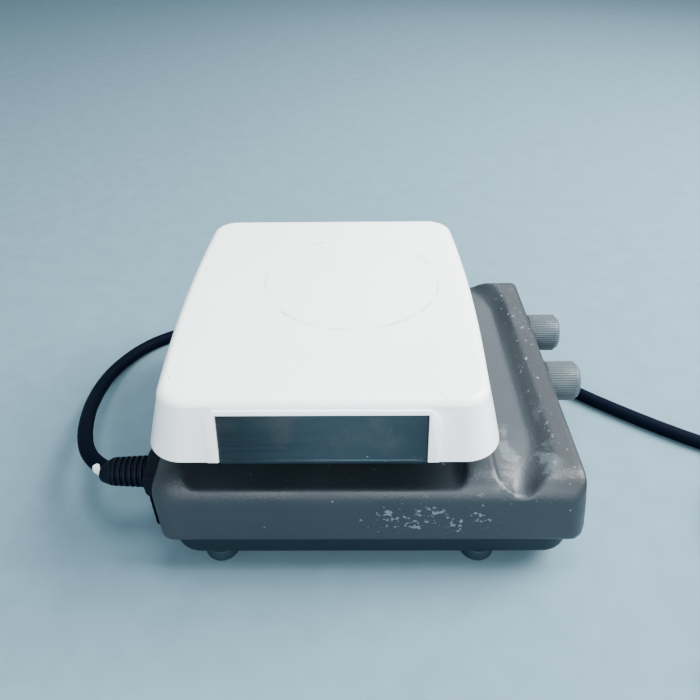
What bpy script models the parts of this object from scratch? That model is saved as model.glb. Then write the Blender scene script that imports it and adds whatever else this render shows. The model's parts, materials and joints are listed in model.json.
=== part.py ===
"""Hotplate magnetic stirrer: cast body, ceramic top, stirring motor, two control knobs, detachable mains lead.

Metres, +Z up. The knobs are at -Y, the mains inlet is at +Y. The origin is on the table, midway between the
knobs' ends and the plate's rear screws.
"""
import bpy
import bmesh
from math import cos, sin, tan, pi, radians, sqrt
from mathutils import Matrix, Vector

GAP = 0.0003                      # clearance left between touching pieces

# ceramic top
PLATE_Y = 0.0321                  # centre of the top
PLATE_HALF_X, PLATE_HALF_Y = 0.0896, 0.076
PLATE_RIM, PLATE_TOP = 0.077, 0.1063
PLATE_FLARE = tan(radians(14))
PLATE_EDGE, PLATE_CORNER, PLATE_BOW = 0.0045, 0.0155, 0.0035
PLATE_WALL, PLATE_THICK = 0.0045, 0.005
PANEL_HALF, PANEL_HIGH, PANEL_THICK = 0.044, 0.020, 0.0015
REAR_SCREW_X = 0.040
PAD_HALF, PAD_HIGH, PAD_PROUD, PAD_CHAMFER = 0.049, 0.0242, 0.0009, 0.005

# body
BODY_HALF_X, BODY_FRONT, BODY_REAR = 0.090, -0.0899, 0.1121
BODY_BOTTOM, BODY_TOP, SIDE_TOP = 0.0244, 0.062, 0.050
SHOULDER, BODY_CORNER, BODY_WALL = 0.013, 0.008, 0.0045
REAR_ROUND = 0.010
CREST, CREST_ROUND = -0.0856, 0.003
LEAN_Y, LEAN_Z, LEAN_FOOT = -0.0879, 0.045, 0.030     # front face leans between these heights
LEDGE, RECESS_DEEP = 0.0572, 0.064
RECESS_FRONT, RECESS_REAR, RECESS_ROUND = -0.0324, 0.0973, 0.007
GROOVE_REAR, GROOVE_LINE, GROOVE_RIM = -0.0450, -0.0645, -0.0765
GROOVE_LOW, GROOVE_EDGE, GROOVE_SWING = 0.0565, 0.0592, 0.009
SHAFT_HOLE = 0.007
INNER_FRONT = -0.0835             # back of the front wall

# base pan and feet
PAN_INSET, PAN_BOTTOM, PAN_WALL, PAN_ROUND, PAN_CORNER = 0.0035, 0.008, 0.002, 0.006, 0.014
FOOT_X, FOOT_Y, FOOT_R = 0.076, (-0.0426, 0.0865), 0.0085

# stirring drive, on the plate's vertical centre line
MOTOR_R, MOTOR_BOTTOM, MOTOR_TOP = 0.030, 0.026, 0.0540
SHAFT_R, SHAFT_TOP = 0.0025, 0.0712
CARRIER_R, CARRIER_Z, CARRIER_THICK = 0.034, 0.0682, 0.003
MAGNET_R, MAGNET_HIGH, MAGNET_OUT = 0.009, 0.009, 0.022

# controls, on horizontal axes
KNOB_Z, KNOB_R, KNOB_LONG, KNOB_END = 0.037, 0.0115, 0.0191, -0.1102
KNOB_BORE = 0.0172
KNOB_X = {"heat": 0.0608, "stir": 0.0125}
POT_R, POT_LONG, BUSH_R, STEM_R = 0.0085, 0.009, 0.0037, 0.003
LIGHT_X, LIGHT_R = (-0.018, -0.036), 0.0025

# mains inlet and lead
INLET_X, INLET_Z = -0.060, 0.040
INLET_FACE = BODY_REAR + 0.0008
SOCKET_HALF, SOCKET_DEEP = (0.0125, 0.0085), 0.014
CORD_R, GRIP_END = 0.004, 0.1390
COIL_X, COIL_Y, COIL_R, COIL_HALF = -0.078, -0.228, 0.047, 0.0085
PLUG_X, PLUG_Y = -0.1445, -0.1660

MATERIALS = {
    "ceramic": ((0.86, 0.87, 0.87), 0.25, 0.0), "steel": ((0.33, 0.34, 0.35), 0.35, 1.0),
    "paint": ((0.25, 0.25, 0.25), 0.55, 0.0), "pan": ((0.06, 0.07, 0.075), 0.6, 0.0),
    "rubber": ((0.10, 0.12, 0.13), 0.8, 0.0), "knob": ((0.22, 0.23, 0.24), 0.5, 0.0),
    "cord": ((0.015, 0.016, 0.02), 0.45, 0.0), "zinc": ((0.6, 0.6, 0.6), 0.35, 1.0),
    "brass": ((0.7, 0.55, 0.25), 0.3, 1.0), "board": ((0.03, 0.2, 0.08), 0.5, 0.0),
    "insulation": ((0.75, 0.72, 0.65), 0.95, 0.0), "magnet": ((0.12, 0.12, 0.13), 0.4, 0.8),
    "black": ((0.02, 0.02, 0.022), 0.5, 0.0), "amber": ((0.8, 0.35, 0.05), 0.2, 0.0),
    "white": ((0.85, 0.85, 0.85), 0.5, 0.0), "label": ((0.12, 0.13, 0.14), 0.5, 0.0),
}
TOWARDS_FRONT, TOWARDS_REAR = (pi / 2, 0, 0), (-pi / 2, 0, 0)    # turn a local +Z axis to -Y and +Y


def material(name):
    found = bpy.data.materials.get(name)
    if found:
        return found
    color, rough, metal = MATERIALS[name]
    made = bpy.data.materials.new(name)
    made.use_nodes = True
    shader = made.node_tree.nodes["Principled BSDF"]
    shader.inputs["Base Color"].default_value = (*color, 1)
    shader.inputs["Roughness"].default_value = rough
    shader.inputs["Metallic"].default_value = metal
    return made


def add(name, mesh, finish, at=(0, 0, 0), turn=(0, 0, 0)):
    obj = bpy.data.objects.new(name, mesh)
    obj.location, obj.rotation_euler = at, turn
    mesh.materials.append(material(finish))
    bpy.context.scene.collection.objects.link(obj)
    return obj


def closed_mesh(name, points, faces, smooth=35):
    mesh = bpy.data.meshes.new(name)
    mesh.from_pydata([tuple(p) for p in points], [], faces)
    bm = bmesh.new()
    bm.from_mesh(mesh)
    bmesh.ops.recalc_face_normals(bm, faces=bm.faces)
    bm.to_mesh(mesh)
    bm.free()
    mesh.shade_smooth()
    mesh.set_sharp_from_angle(angle=radians(smooth))
    return mesh


def loft(name, rings):
    """Skins rings of equal point counts and caps the first and the last."""
    size = len(rings[0])
    points = [p for ring in rings for p in ring]
    faces = [list(range(size)), list(range(len(points) - size, len(points)))]
    for k in range(len(rings) - 1):
        for i in range(size):
            j = (i + 1) % size
            faces.append([k * size + i, k * size + j, (k + 1) * size + j, (k + 1) * size + i])
    return closed_mesh(name, points, faces)


def turned(name, outline, finish, at=(0, 0, 0), turn=(0, 0, 0), steps=24):
    """Turns (radius, height) points about local Z; an outline that starts and ends at radius 0 is solid."""
    solid = outline[0][0] == 0
    rows = outline[1:-1] if solid else outline
    points = [(r * cos(2 * pi * k / steps), r * sin(2 * pi * k / steps), z) for r, z in rows for k in range(steps)]
    faces = []
    for i in range(len(rows) - solid):
        j = (i + 1) % len(rows)
        for k in range(steps):
            n = (k + 1) % steps
            faces.append([i * steps + k, i * steps + n, j * steps + n, j * steps + k])
    if solid:
        faces += [list(range(steps)), list(range(len(points) - steps, len(points)))]
    return add(name, closed_mesh(name, points, faces), finish, at, turn)


def rod(name, radius, length, finish, at, turn=(0, 0, 0), steps=24):
    return turned(name, [(0, 0), (radius, 0), (radius, length), (0, length)], finish, at, turn, steps)


def tube(name, inner, outer, length, finish, at, turn=(0, 0, 0), steps=24):
    return turned(name, [(inner, 0), (outer, 0), (outer, length), (inner, length)], finish, at, turn, steps)


def rounded(half_x, half_y, corner, steps=5):
    """Corner-rounded rectangle about the origin, anticlockwise."""
    points = []
    for sx, sy, start in ((1, 1, 0), (-1, 1, 90), (-1, -1, 180), (1, -1, 270)):
        for k in range(steps + 1):
            a = radians(start + 90 * k / steps)
            points.append((sx * (half_x - corner) + corner * cos(a), sy * (half_y - corner) + corner * sin(a)))
    return points


def block(name, low, high, finish, corner=0.0, steps=4):
    """Upright box with rounded vertical edges."""
    cx, cy = (low[0] + high[0]) / 2, (low[1] + high[1]) / 2
    half_x, half_y = (high[0] - low[0]) / 2, (high[1] - low[1]) / 2
    if corner:
        flat = rounded(half_x, half_y, corner, steps)
    else:
        flat = [(half_x, half_y), (-half_x, half_y), (-half_x, -half_y), (half_x, -half_y)]
    rings = [[(cx + x, cy + y, z) for x, y in flat] for z in (low[2], high[2])]
    return add(name, loft(name, rings), finish)


def join(obj, other, operation="DIFFERENCE"):
    """Boolean with a guide object, which the model leaves out."""
    other.hide_render, other.display_type = True, "WIRE"
    step = obj.modifiers.new(other.name, "BOOLEAN")
    step.operation, step.solver, step.object = operation, "EXACT", other
    return obj


# ---------------------------------------------------------------- ceramic top

def plate_ring(inset, z):
    """Plate outline at a height: bowed front and rear sides, rounded corners."""
    half_x, half_y = PLATE_HALF_X - inset, PLATE_HALF_Y - inset
    corner = max(PLATE_CORNER - 0.6 * inset, 0.004)
    flat = rounded(half_x, half_y, corner, 6)
    span = half_x - corner
    first, second, third, fourth = flat[:7], flat[7:14], flat[14:21], flat[21:]
    rear = [(span * (1 - 2 * k / 8), half_y) for k in range(1, 8)]
    front = [(-span * (1 - 2 * k / 8), -half_y) for k in range(1, 8)]
    ring = first + rear + second + third + front + fourth
    return [(x, PLATE_Y + y + (1 if y > 0 else -1) * PLATE_BOW * (1 - (x / half_x) ** 2), z) for x, y in ring]


def skirt_x(z, proud=0.0):
    """Half width of the skirt's outer face at a height."""
    return PLATE_HALF_X - PLATE_FLARE * (z - PLATE_RIM) + proud


def skirt_prism(name, flat, low, high):
    """Prism on the skirt: (y, z) outline, from one depth to another along the skirt's slope."""
    rings = [[(skirt_x(z, depth), PLATE_Y + y, z) for y, z in flat] for depth in (low, high)]
    return loft(name, rings)


def mirrored(mesh, name):
    """Copy of a mesh on the other side of the YZ plane."""
    made = mesh.copy()
    made.name = name
    made.transform(Matrix.Scale(-1, 4, (1, 0, 0)))
    made.flip_normals()
    return made


def build_plate():
    straight = PLATE_TOP - PLATE_EDGE
    under = PLATE_TOP - PLATE_THICK
    foot_of_edge = PLATE_FLARE * (straight - PLATE_RIM)
    rings = [plate_ring(foot_of_edge + PLATE_WALL + 0.002, under),
             plate_ring(foot_of_edge + PLATE_WALL, under - 0.002), plate_ring(PLATE_WALL, PLATE_RIM + 0.0005), plate_ring(PLATE_WALL - 0.001, PLATE_RIM),
             plate_ring(0.0008, PLATE_RIM), plate_ring(0.0, PLATE_RIM + 0.0008)]
    for k in range(7):
        a = pi / 2 * k / 6
        inset = foot_of_edge + PLATE_EDGE * (1 - cos(a))
        rings.append(plate_ring(inset, straight + PLATE_EDGE * sin(a)))
    plate = add("top_plate", loft("top_plate", rings), "ceramic")
    top = PLATE_RIM + PAD_HIGH
    pad = [(-PAD_HALF, PLATE_RIM + 0.0005), (PAD_HALF, PLATE_RIM + 0.0005), (PAD_HALF, top - PAD_CHAMFER),
           (PAD_HALF - PAD_CHAMFER, top), (PAD_CHAMFER - PAD_HALF, top), (-PAD_HALF, top - PAD_CHAMFER)]
    pad_mesh = skirt_prism("pad", pad, -0.002, PAD_PROUD)
    half, high = PANEL_HALF + GAP, PLATE_RIM + PANEL_HIGH + GAP
    notch = [(-half, PLATE_RIM - 0.004), (half, PLATE_RIM - 0.004), (half, high), (-half, high)]
    notch_mesh = skirt_prism("notch", notch, -0.009, 0.004)
    join(plate, add("pad_right", pad_mesh, "ceramic"), "UNION")
    join(plate, add("pad_left", mirrored(pad_mesh, "pad_left"), "ceramic"), "UNION")
    join(plate, add("notch_right", notch_mesh, "ceramic"))
    join(plate, add("notch_left", mirrored(notch_mesh, "notch_left"), "ceramic"))
    flat = [(-PANEL_HALF, PLATE_RIM), (PANEL_HALF, PLATE_RIM), (PANEL_HALF, PLATE_RIM + PANEL_HIGH),
            (-PANEL_HALF, PLATE_RIM + PANEL_HIGH)]
    panel = skirt_prism("side_panel_right", flat, -PANEL_THICK, 0.0002)
    add("side_panel_right", panel, "steel")
    add("side_panel_left", mirrored(panel, "side_panel_left"), "steel")
    lean = radians(14)
    rise = 0.0052
    for side, name in ((-1, "left"), (1, "right")):
        face = PLATE_Y + PLATE_HALF_Y + PLATE_BOW * (1 - (REAR_SCREW_X / PLATE_HALF_X) ** 2) - PLATE_FLARE * rise
        head = [(0, 0), (0.0045, 0), (0.0045, 0.0012), (0.0035, 0.0022), (0, 0.0022)]
        at = (side * REAR_SCREW_X, face + 0.0005 * cos(lean), PLATE_RIM + rise + 0.0005 * sin(lean))
        turned(f"rear_screw_{name}", head, "black", at, (lean - pi / 2, 0, 0), 16)


def build_under_plate():
    under = PLATE_TOP - PLATE_THICK - GAP
    block("heater_element", (-0.058, PLATE_Y - 0.047, under - 0.004), (0.058, PLATE_Y + 0.047, under), "zinc",
          0.006)
    rod("temperature_probe", 0.0018, 0.040, "zinc", (0.065, PLATE_Y + 0.020, under - 0.002), TOWARDS_FRONT, 12)
    block("insulation_pad", (-0.066, PLATE_Y - 0.054, 0.0875), (0.066, PLATE_Y + 0.054, under - 0.004 - GAP),
          "insulation", 0.008)
    block("heat_shield", (-0.070, PLATE_Y - 0.058, 0.0860), (0.070, PLATE_Y + 0.058, 0.0872), "steel", 0.008)
    for k, (sx, sy) in enumerate(((-1, -1), (1, -1), (-1, 1), (1, 1))):
        at = (sx * 0.052, PLATE_Y + sy * 0.045, BODY_TOP + GAP)
        tube(f"plate_post_{k + 1}", 0.002, 0.005, 0.0860 - BODY_TOP - 2 * GAP, "zinc", at, steps=16)


# ---------------------------------------------------------------- cast body

def body_profile():
    """Side view (y, z) at the middle: rear, flat top, crest, leaning front."""
    points = [(BODY_REAR, BODY_BOTTOM)]
    points += [(BODY_REAR - REAR_ROUND * (1 - cos(a)), BODY_TOP - REAR_ROUND * (1 - sin(a))) for a in
               (pi / 8 * k for k in range(5))]
    points += [(0.060, BODY_TOP), (0.010, BODY_TOP), (-0.040, BODY_TOP)]
    points += [(CREST + CREST_ROUND * (1 - sin(a)), BODY_TOP - CREST_ROUND * (1 - cos(a))) for a in
               (pi / 6 * k for k in range(4))]
    return points + [(LEAN_Y, LEAN_Z), (BODY_FRONT, LEAN_FOOT), (BODY_FRONT, BODY_BOTTOM)]


def body_stations():
    """Half of the stations across the body: (x, height scale, depth scale)."""
    stations = []
    for k in range(9):
        a = pi / 2 * k / 8
        x = BODY_HALF_X - SHOULDER + SHOULDER * sin(a)
        top = SIDE_TOP + (BODY_TOP - SIDE_TOP) * cos(a)
        past = max(x - (BODY_HALF_X - BODY_CORNER), 0)
        inset = BODY_CORNER - sqrt(max(BODY_CORNER ** 2 - past ** 2, 0))
        half = (BODY_REAR - BODY_FRONT) / 2
        stations.append((x, (top - BODY_BOTTOM) / (BODY_TOP - BODY_BOTTOM), (half - inset) / half))
    return stations


def groove_cutter():
    """Spill groove between the plate and the crest; its lowest line swings to the plate at both ends."""
    rings, above, proud = [], 0.070, 0.0002
    half = [(0.0, 0.0), (0.056, 0.0), (0.066, 0.25), (0.075, 0.62), (0.084, 0.92), (0.100, 1.0)]
    for x, swing in [(-x, s) for x, s in reversed(half)] + half[1:]:
        line = GROOVE_LINE + GROOVE_SWING * swing
        rim = GROOVE_RIM + 0.3 * GROOVE_SWING * swing
        points = [(GROOVE_REAR, above), (GROOVE_REAR, GROOVE_EDGE + 0.0012), (GROOVE_REAR - 0.0012, GROOVE_EDGE),
                  (line + 0.004, GROOVE_LOW + 0.0004)]
        for k in range(9):
            s = k / 8
            points.append((line + (rim - line) * s,
                           GROOVE_LOW + (BODY_TOP + proud - GROOVE_LOW) * (1 - cos(pi * s)) / 2))
        rings.append([(x, y, z) for y, z in points + [(rim, above)]])
    return loft("groove", rings)


def build_body():
    middle = (BODY_REAR + BODY_FRONT) / 2
    profile = body_profile()
    half = body_stations()
    rings = []
    for x, tall, deep in [(-x, t, d) for x, t, d in reversed(half)] + half:
        rings.append([(x, middle + (y - middle) * deep, BODY_BOTTOM + (z - BODY_BOTTOM) * tall) for y, z in profile])
    body = add("body_shell", loft("body_shell", rings), "paint")
    join(body, add("groove", groove_cutter(), "paint"))
    wall = BODY_WALL
    join(body, block("hollow_low", (wall - BODY_HALF_X, INNER_FRONT, 0.010),
                     (BODY_HALF_X - wall, BODY_REAR - wall, 0.036), "paint", 0.009))
    join(body, block("hollow_high", (-0.060, -0.030, 0.030), (0.060, 0.100, BODY_TOP - wall), "paint", 0.006))
    join(body, block("hollow_front", (-0.072, INNER_FRONT, 0.030), (0.072, -0.035, 0.0475), "paint", 0.002))
    cy = (RECESS_FRONT + RECESS_REAR) / 2
    flat = rounded((RECESS_REAR - RECESS_FRONT) / 2, 0.030, RECESS_ROUND, 5)
    for side in (-1, 1):
        rings = [[(side * x, cy + y, LEDGE + 0.030 + z) for y, z in flat] for x in (RECESS_DEEP, 0.110)]
        join(body, add(f"recess_{side}", loft("recess", rings), "paint"))
    join(body, rod("shaft_hole", SHAFT_HOLE, 0.030, "paint", (0, PLATE_Y, 0.045)))
    for name, x in KNOB_X.items():
        join(body, rod(f"{name}_hole", BUSH_R + GAP, 0.030, "paint", (x, -0.072, KNOB_Z), TOWARDS_FRONT))
    for k, x in enumerate(LIGHT_X):
        join(body, rod(f"light_hole_{k}", LIGHT_R + GAP, 0.030, "paint", (x, -0.072, KNOB_Z), TOWARDS_FRONT,
                       16))
    half_x, half_z = SOCKET_HALF[0] + 0.003 + GAP, SOCKET_HALF[1] + 0.002 + GAP
    join(body, block("inlet_hole", (INLET_X - half_x, 0.095, INLET_Z - half_z),
                     (INLET_X + half_x, 0.125, INLET_Z + half_z), "paint"))


def build_base():
    half_x = BODY_HALF_X - PAN_INSET
    front, rear = BODY_FRONT + PAN_INSET, BODY_REAR - PAN_INSET
    middle, half_y = (front + rear) / 2, (rear - front) / 2
    top = BODY_BOTTOM - GAP

    def ring(inset, z):
        corner = max(PAN_CORNER - inset, 0.004)
        return [(x, middle + y, z) for x, y in rounded(half_x - inset, half_y - inset, corner)]

    rings = [ring(PAN_WALL + 0.006, PAN_BOTTOM + PAN_WALL), ring(PAN_WALL, PAN_BOTTOM + PAN_ROUND),
             ring(PAN_WALL, top), ring(0, top)]
    for k in range(6):
        a = pi / 2 * k / 5
        rings.append(ring(PAN_ROUND * (1 - cos(a)), PAN_BOTTOM + PAN_ROUND * (1 - sin(a))))
    pan = add("base_pan", loft("base_pan", rings), "pan")
    for k in range(6):
        x = -0.050 + 0.020 * k
        join(pan, block(f"vent_{k}", (x - 0.002, PLATE_Y - 0.020, PAN_BOTTOM - 0.004),
                        (x + 0.002, PLATE_Y + 0.020, PAN_BOTTOM + 0.006), "pan"))
    count = 0
    for sx in (-1, 1):
        for y in FOOT_Y:
            count += 1
            at = (sx * FOOT_X, y, 0)
            join(pan, rod(f"foot_hole_{count}", 0.0022, 0.012, "pan", (at[0], at[1], PAN_BOTTOM - 0.004),
                          steps=12))
            top_z = PAN_BOTTOM - GAP
            foot = [(0.0024, 0.004), (0.005, 0.004), (0.005, 0), (FOOT_R - 0.0015, 0), (FOOT_R - 0.0006, 0.0008),
                    (FOOT_R, top_z - 0.002), (FOOT_R - 0.0006, top_z), (0.0024, top_z)]
            turned(f"foot_{count}", foot, "rubber", at, steps=24)
            screw = [(0, 0.0018), (0.0038, 0.0018), (0.0038, 0.0037), (0.0019, 0.0037), (0.0019, 0.020), (0, 0.020)]
            turned(f"foot_screw_{count}", screw, "zinc", at, steps=12)


# ---------------------------------------------------------------- stirring drive

def build_drive():
    centre = (0, PLATE_Y, 0)
    body = [(SHAFT_R + GAP, MOTOR_BOTTOM), (0.012, MOTOR_BOTTOM), (0.012, MOTOR_BOTTOM + 0.002),
            (MOTOR_R, MOTOR_BOTTOM + 0.002), (MOTOR_R, MOTOR_TOP), (SHAFT_R + GAP, MOTOR_TOP)]
    turned("stir_motor", body, "zinc", centre, steps=32)
    bracket = block("motor_bracket", (-0.040, PLATE_Y - 0.020, MOTOR_TOP + GAP),
                    (0.040, PLATE_Y + 0.020, BODY_TOP - BODY_WALL - GAP), "steel", 0.004)
    join(bracket, rod("bracket_hole", SHAFT_HOLE, 0.02, "steel", (0, PLATE_Y, 0.045)))
    rod("motor_shaft", SHAFT_R, SHAFT_TOP - MOTOR_BOTTOM - 0.001, "zinc", (0, PLATE_Y, MOTOR_BOTTOM + 0.001), steps=16)
    hub = [(SHAFT_R + GAP, CARRIER_Z - 0.005), (0.006, CARRIER_Z - 0.005), (0.006, CARRIER_Z), (CARRIER_R, CARRIER_Z),
           (CARRIER_R, CARRIER_Z + CARRIER_THICK), (SHAFT_R + GAP, CARRIER_Z + CARRIER_THICK)]
    turned("magnet_carrier", hub, "zinc", centre, steps=32)
    for side, name in ((-1, "front"), (1, "rear")):
        rod(f"drive_magnet_{name}", MAGNET_R, MAGNET_HIGH, "magnet",
            (0, PLATE_Y + side * MAGNET_OUT, CARRIER_Z + CARRIER_THICK + GAP))


# ---------------------------------------------------------------- controls

def front_face(z):
    """Y of the leaning front face at a height near the knobs."""
    return LEAN_Y + (BODY_FRONT - LEAN_Y) * (LEAN_Z - z) / (LEAN_Z - LEAN_FOOT)


def build_controls():
    for name, x in KNOB_X.items():
        def on_axis(y, x=x):
            return (x, y, KNOB_Z)

        bore = STEM_R + GAP
        pot = [(bore, 0), (POT_R, 0), (POT_R, POT_LONG), (BUSH_R, POT_LONG), (BUSH_R, 0.0175), (bore, 0.0175)]
        turned(f"{name}_potentiometer", pot, "zinc", on_axis(INNER_FRONT + POT_LONG + GAP), TOWARDS_FRONT)
        tube(f"{name}_nut", (BUSH_R + GAP) / cos(pi / 6), 0.0066, 0.0018, "brass",
             on_axis(front_face(KNOB_Z) - 0.0012), TOWARDS_FRONT, 6)
        rod(f"{name}_stem", STEM_R, 0.030, "zinc", on_axis(-0.078), TOWARDS_FRONT, 16)
        r, long = KNOB_R, KNOB_LONG
        knob = [(0, long), (r * 0.84, long), (r * 0.90, long - 0.0008), (r * 0.985, long - 0.003), (r, 0.001),
                (r * 0.97, 0), (0.0078, 0), (0.0078, 0.004), (bore, 0.004), (bore, KNOB_BORE), (0, KNOB_BORE)]
        turned(f"{name}_knob", knob, "knob", on_axis(KNOB_END + long), TOWARDS_FRONT, 32)
    for k, x in enumerate(LIGHT_X):
        lens = [(0, 0), (LIGHT_R, 0), (LIGHT_R, 0.0070), (LIGHT_R * 0.7, 0.0088), (0, 0.0092)]
        turned(f"indicator_{'heat' if k == 0 else 'stir'}", lens, "amber", (x, -0.0815, KNOB_Z), TOWARDS_FRONT, 16)
    block("control_board", (-0.045, -0.076, 0.0190), (0.068, -0.012, 0.0206), "board", 0.002)
    block("heat_triac", (0.030, -0.030, 0.0209), (0.045, -0.025, 0.0330), "black")
    block("heat_sink", (0.024, -0.0245, 0.0209), (0.051, -0.0175, 0.0350), "zinc")
    for k, (x, y) in enumerate(((-0.040, -0.071), (0.063, -0.071), (-0.040, -0.017), (0.063, -0.017))):
        base = PAN_BOTTOM + PAN_WALL + GAP
        rod(f"board_post_{k + 1}", 0.003, 0.0190 - base - GAP, "brass", (x, y, base), steps=12)


# ---------------------------------------------------------------- mains inlet and lead

def section(y, half_x, half_z, corner, x=0.0, z=0.0):
    return [(x + px, y, z + pz) for px, pz in rounded(half_x, half_z, corner, 3)]


def build_inlet():
    """Socket with a thin flange, held by two sunk screws."""
    sx, sz = SOCKET_HALF
    sections = [(INLET_FACE - SOCKET_DEEP, (sx, sz), 0.002), (INLET_FACE, (sx, sz), 0.002),
                (INLET_FACE, (0.0245, 0.0125), 0.004), (BODY_REAR + GAP, (0.0245, 0.0125), 0.004),
                (BODY_REAR + GAP, (sx + 0.003, sz + 0.002), 0.003),
                (INLET_FACE - SOCKET_DEEP - 0.0035, (sx + 0.003, sz + 0.002), 0.003)]
    rings = [section(y, hx, hz, corner, INLET_X, INLET_Z) for y, (hx, hz), corner in sections]
    inlet = add("mains_inlet", loft("mains_inlet", rings), "black")
    shank, head, sunk = 0.0015, 0.0026, 0.0008
    for side, name in ((-1, "left"), (1, "right")):
        x = INLET_X + side * 0.0202
        join(inlet, rod(f"inlet_hole_{name}", shank + GAP, 0.010, "black", (x, 0.110, INLET_Z), TOWARDS_REAR,
                        12))
        join(inlet, rod(f"inlet_sink_{name}", head + GAP, 0.010, "black", (x, INLET_FACE - sunk, INLET_Z),
                        TOWARDS_REAR, 16))
        top = 0.0076
        screw = [(0, 0), (shank, 0), (shank, top - sunk + GAP), (head, top - sunk + GAP), (head, top), (0, top)]
        turned(f"inlet_screw_{name}", screw, "zinc", (x, INLET_FACE - top, INLET_Z), TOWARDS_REAR, 12)
        join(bpy.data.objects["body_shell"], rod(f"inlet_tap_{name}", shank + GAP, 0.030, "paint",
                                                 (x, 0.095, INLET_Z), TOWARDS_REAR, 12))


def build_connector():
    """Moulded connector with a round grip, and the white sleeve where the lead leaves it."""
    start = INLET_FACE - SOCKET_DEEP + GAP
    sx, sz = SOCKET_HALF
    shapes = [(start, sx - GAP, sz - GAP, 0.003), (INLET_FACE - 0.0010, sx - GAP, sz - GAP, 0.003),
              (INLET_FACE + 0.0005, 0.0110, 0.0078, 0.003), (0.1212, 0.0110, 0.0078, 0.004),
              (0.1228, 0.0082, 0.0078, 0.0070), (0.1300, 0.0078, 0.0078, 0.0077),
              (GRIP_END - 0.0010, 0.0072, 0.0072, 0.0071), (GRIP_END, 0.0060, 0.0060, 0.0059)]
    rings = [section(y, hx, hz, corner, INLET_X, INLET_Z) for y, hx, hz, corner in shapes]
    add("cord_connector", loft("cord_connector", rings), "cord")
    way = (Vector(LEAD[1]) - Vector(LEAD[0])).normalized()
    turn = way.to_track_quat("Z", "Y").to_euler()
    tube("cord_marker", CORD_R + 0.0007, CORD_R + 0.0018, 0.0030, "white", Vector(LEAD[0]) + 0.0015 * way, turn,
         16)


def smooth_points(route, spacing):
    """Evenly spaced points on a Catmull-Rom curve through a route."""
    route = [Vector(p) for p in route]
    ends = [2 * route[0] - route[1]] + route + [2 * route[-1] - route[-2]]
    fine = []
    for k in range(len(route) - 1):
        p0, p1, p2, p3 = ends[k:k + 4]
        for i in range(12):
            t = i / 12
            fine.append(0.5 * (2 * p1 + (p2 - p0) * t + (2 * p0 - 5 * p1 + 4 * p2 - p3) * t ** 2
                               + (3 * p1 - p0 - 3 * p2 + p3) * t ** 3))
    fine.append(route[-1])
    points, run = [fine[0]], 0.0
    for a, b in zip(fine, fine[1:]):
        run += (b - a).length
        if run >= spacing:
            points.append(b)
            run = 0.0
    points[-1] = fine[-1]
    return points


LEAD = [
    (-0.0590, 0.1420, 0.0400), (-0.0545, 0.1486, 0.0396), (-0.0475, 0.1552, 0.0384), (-0.0380, 0.1610, 0.0363),
    (-0.0225, 0.1674, 0.0324), (-0.0015, 0.1738, 0.0262), (0.0160, 0.1778, 0.0205), (0.0333, 0.1802, 0.0155),
    (0.0520, 0.1806, 0.0108), (0.0708, 0.1772, 0.0070), (0.0880, 0.1695, 0.0048), (0.1010, 0.1570, 0.0041),
    (0.1110, 0.1390, 0.0041), (0.1185, 0.1150, 0.0041), (0.1245, 0.0780, 0.0041), (0.1280, 0.0320, 0.0041),
    (0.1260, -0.0180, 0.0041), (0.1180, -0.0600, 0.0041), (0.1020, -0.0880, 0.0041), (0.0800, -0.1010, 0.0041),
    (0.0600, -0.1080, 0.0041), (0.0400, -0.1240, 0.0041), (0.0140, -0.1560, 0.0041), (-0.0050, -0.1840, 0.0041),
    (-0.0145, -0.2030, 0.0042), (-0.0182, -0.2120, 0.0043),
]
TAIL = [(-0.1390, -0.2330, 0.0128), (-0.1415, -0.2240, 0.0125), (-0.1440, -0.2140, 0.0122),
        (-0.1445, -0.2060, 0.0120), (-0.1445, -0.1960, 0.0120)]


def build_cord():
    for name, route in (("cord_lead", LEAD), ("cord_tail", TAIL)):
        points = smooth_points(route, 0.013 if name == "cord_lead" else 0.008)
        curve = bpy.data.curves.new(name, "CURVE")
        curve.dimensions = "3D"
        curve.bevel_depth, curve.bevel_resolution, curve.use_fill_caps = CORD_R, 2, True
        line = curve.splines.new("POLY")
        line.points.add(len(points) - 1)
        for spot, p in zip(line.points, points):
            spot.co = (*p, 1)
        add(name, curve, "cord")
    half = COIL_HALF
    ring = [(COIL_R - half, 0.0005), (COIL_R - half + 0.002, 0), (COIL_R + half - 0.002, 0), (COIL_R + half, 0.002),
            (COIL_R + half, 2 * half - 0.002), (COIL_R + half - 0.003, 2 * half),
            (COIL_R - half + 0.003, 2 * half), (COIL_R - half, 2 * half - 0.002)]
    turned("cord_coil", ring, "cord", (COIL_X, COIL_Y, 0), steps=40)
    start = TAIL[-1][1] + GAP
    shapes = [(start, 0.0060, 0.0060, 0.0058), (start + 0.012, 0.0075, 0.0075, 0.0070),
              (PLUG_Y - 0.012, 0.0110, 0.0095, 0.0050), (PLUG_Y + 0.006, 0.0120, 0.0115, 0.0040), (PLUG_Y + 0.009, 0.0120, 0.0115, 0.0040)]
    rings = [section(y, hx, hz, corner, PLUG_X, 0.0120) for y, hx, hz, corner in shapes]
    add("wall_plug", loft("wall_plug", rings), "cord")
    pin_y = PLUG_Y + 0.009 + GAP
    for side, name in ((-1, "left"), (1, "right")):
        x = PLUG_X + side * 0.00635
        block(f"plug_blade_{name}", (x - 0.00075, pin_y, 0.0125), (x + 0.00075, pin_y + 0.0165, 0.0188), "brass")
    rod("plug_earth_pin", 0.0024, 0.0195, "brass", (PLUG_X, pin_y, 0.0058), (-pi / 2, 0, 0), 12)


def main():
    for obj in list(bpy.data.objects):
        bpy.data.objects.remove(obj, do_unlink=True)
    build_plate()
    build_under_plate()
    build_body()
    build_base()
    build_drive()
    build_controls()
    build_inlet()
    build_connector()
    build_cord()


main()
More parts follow.
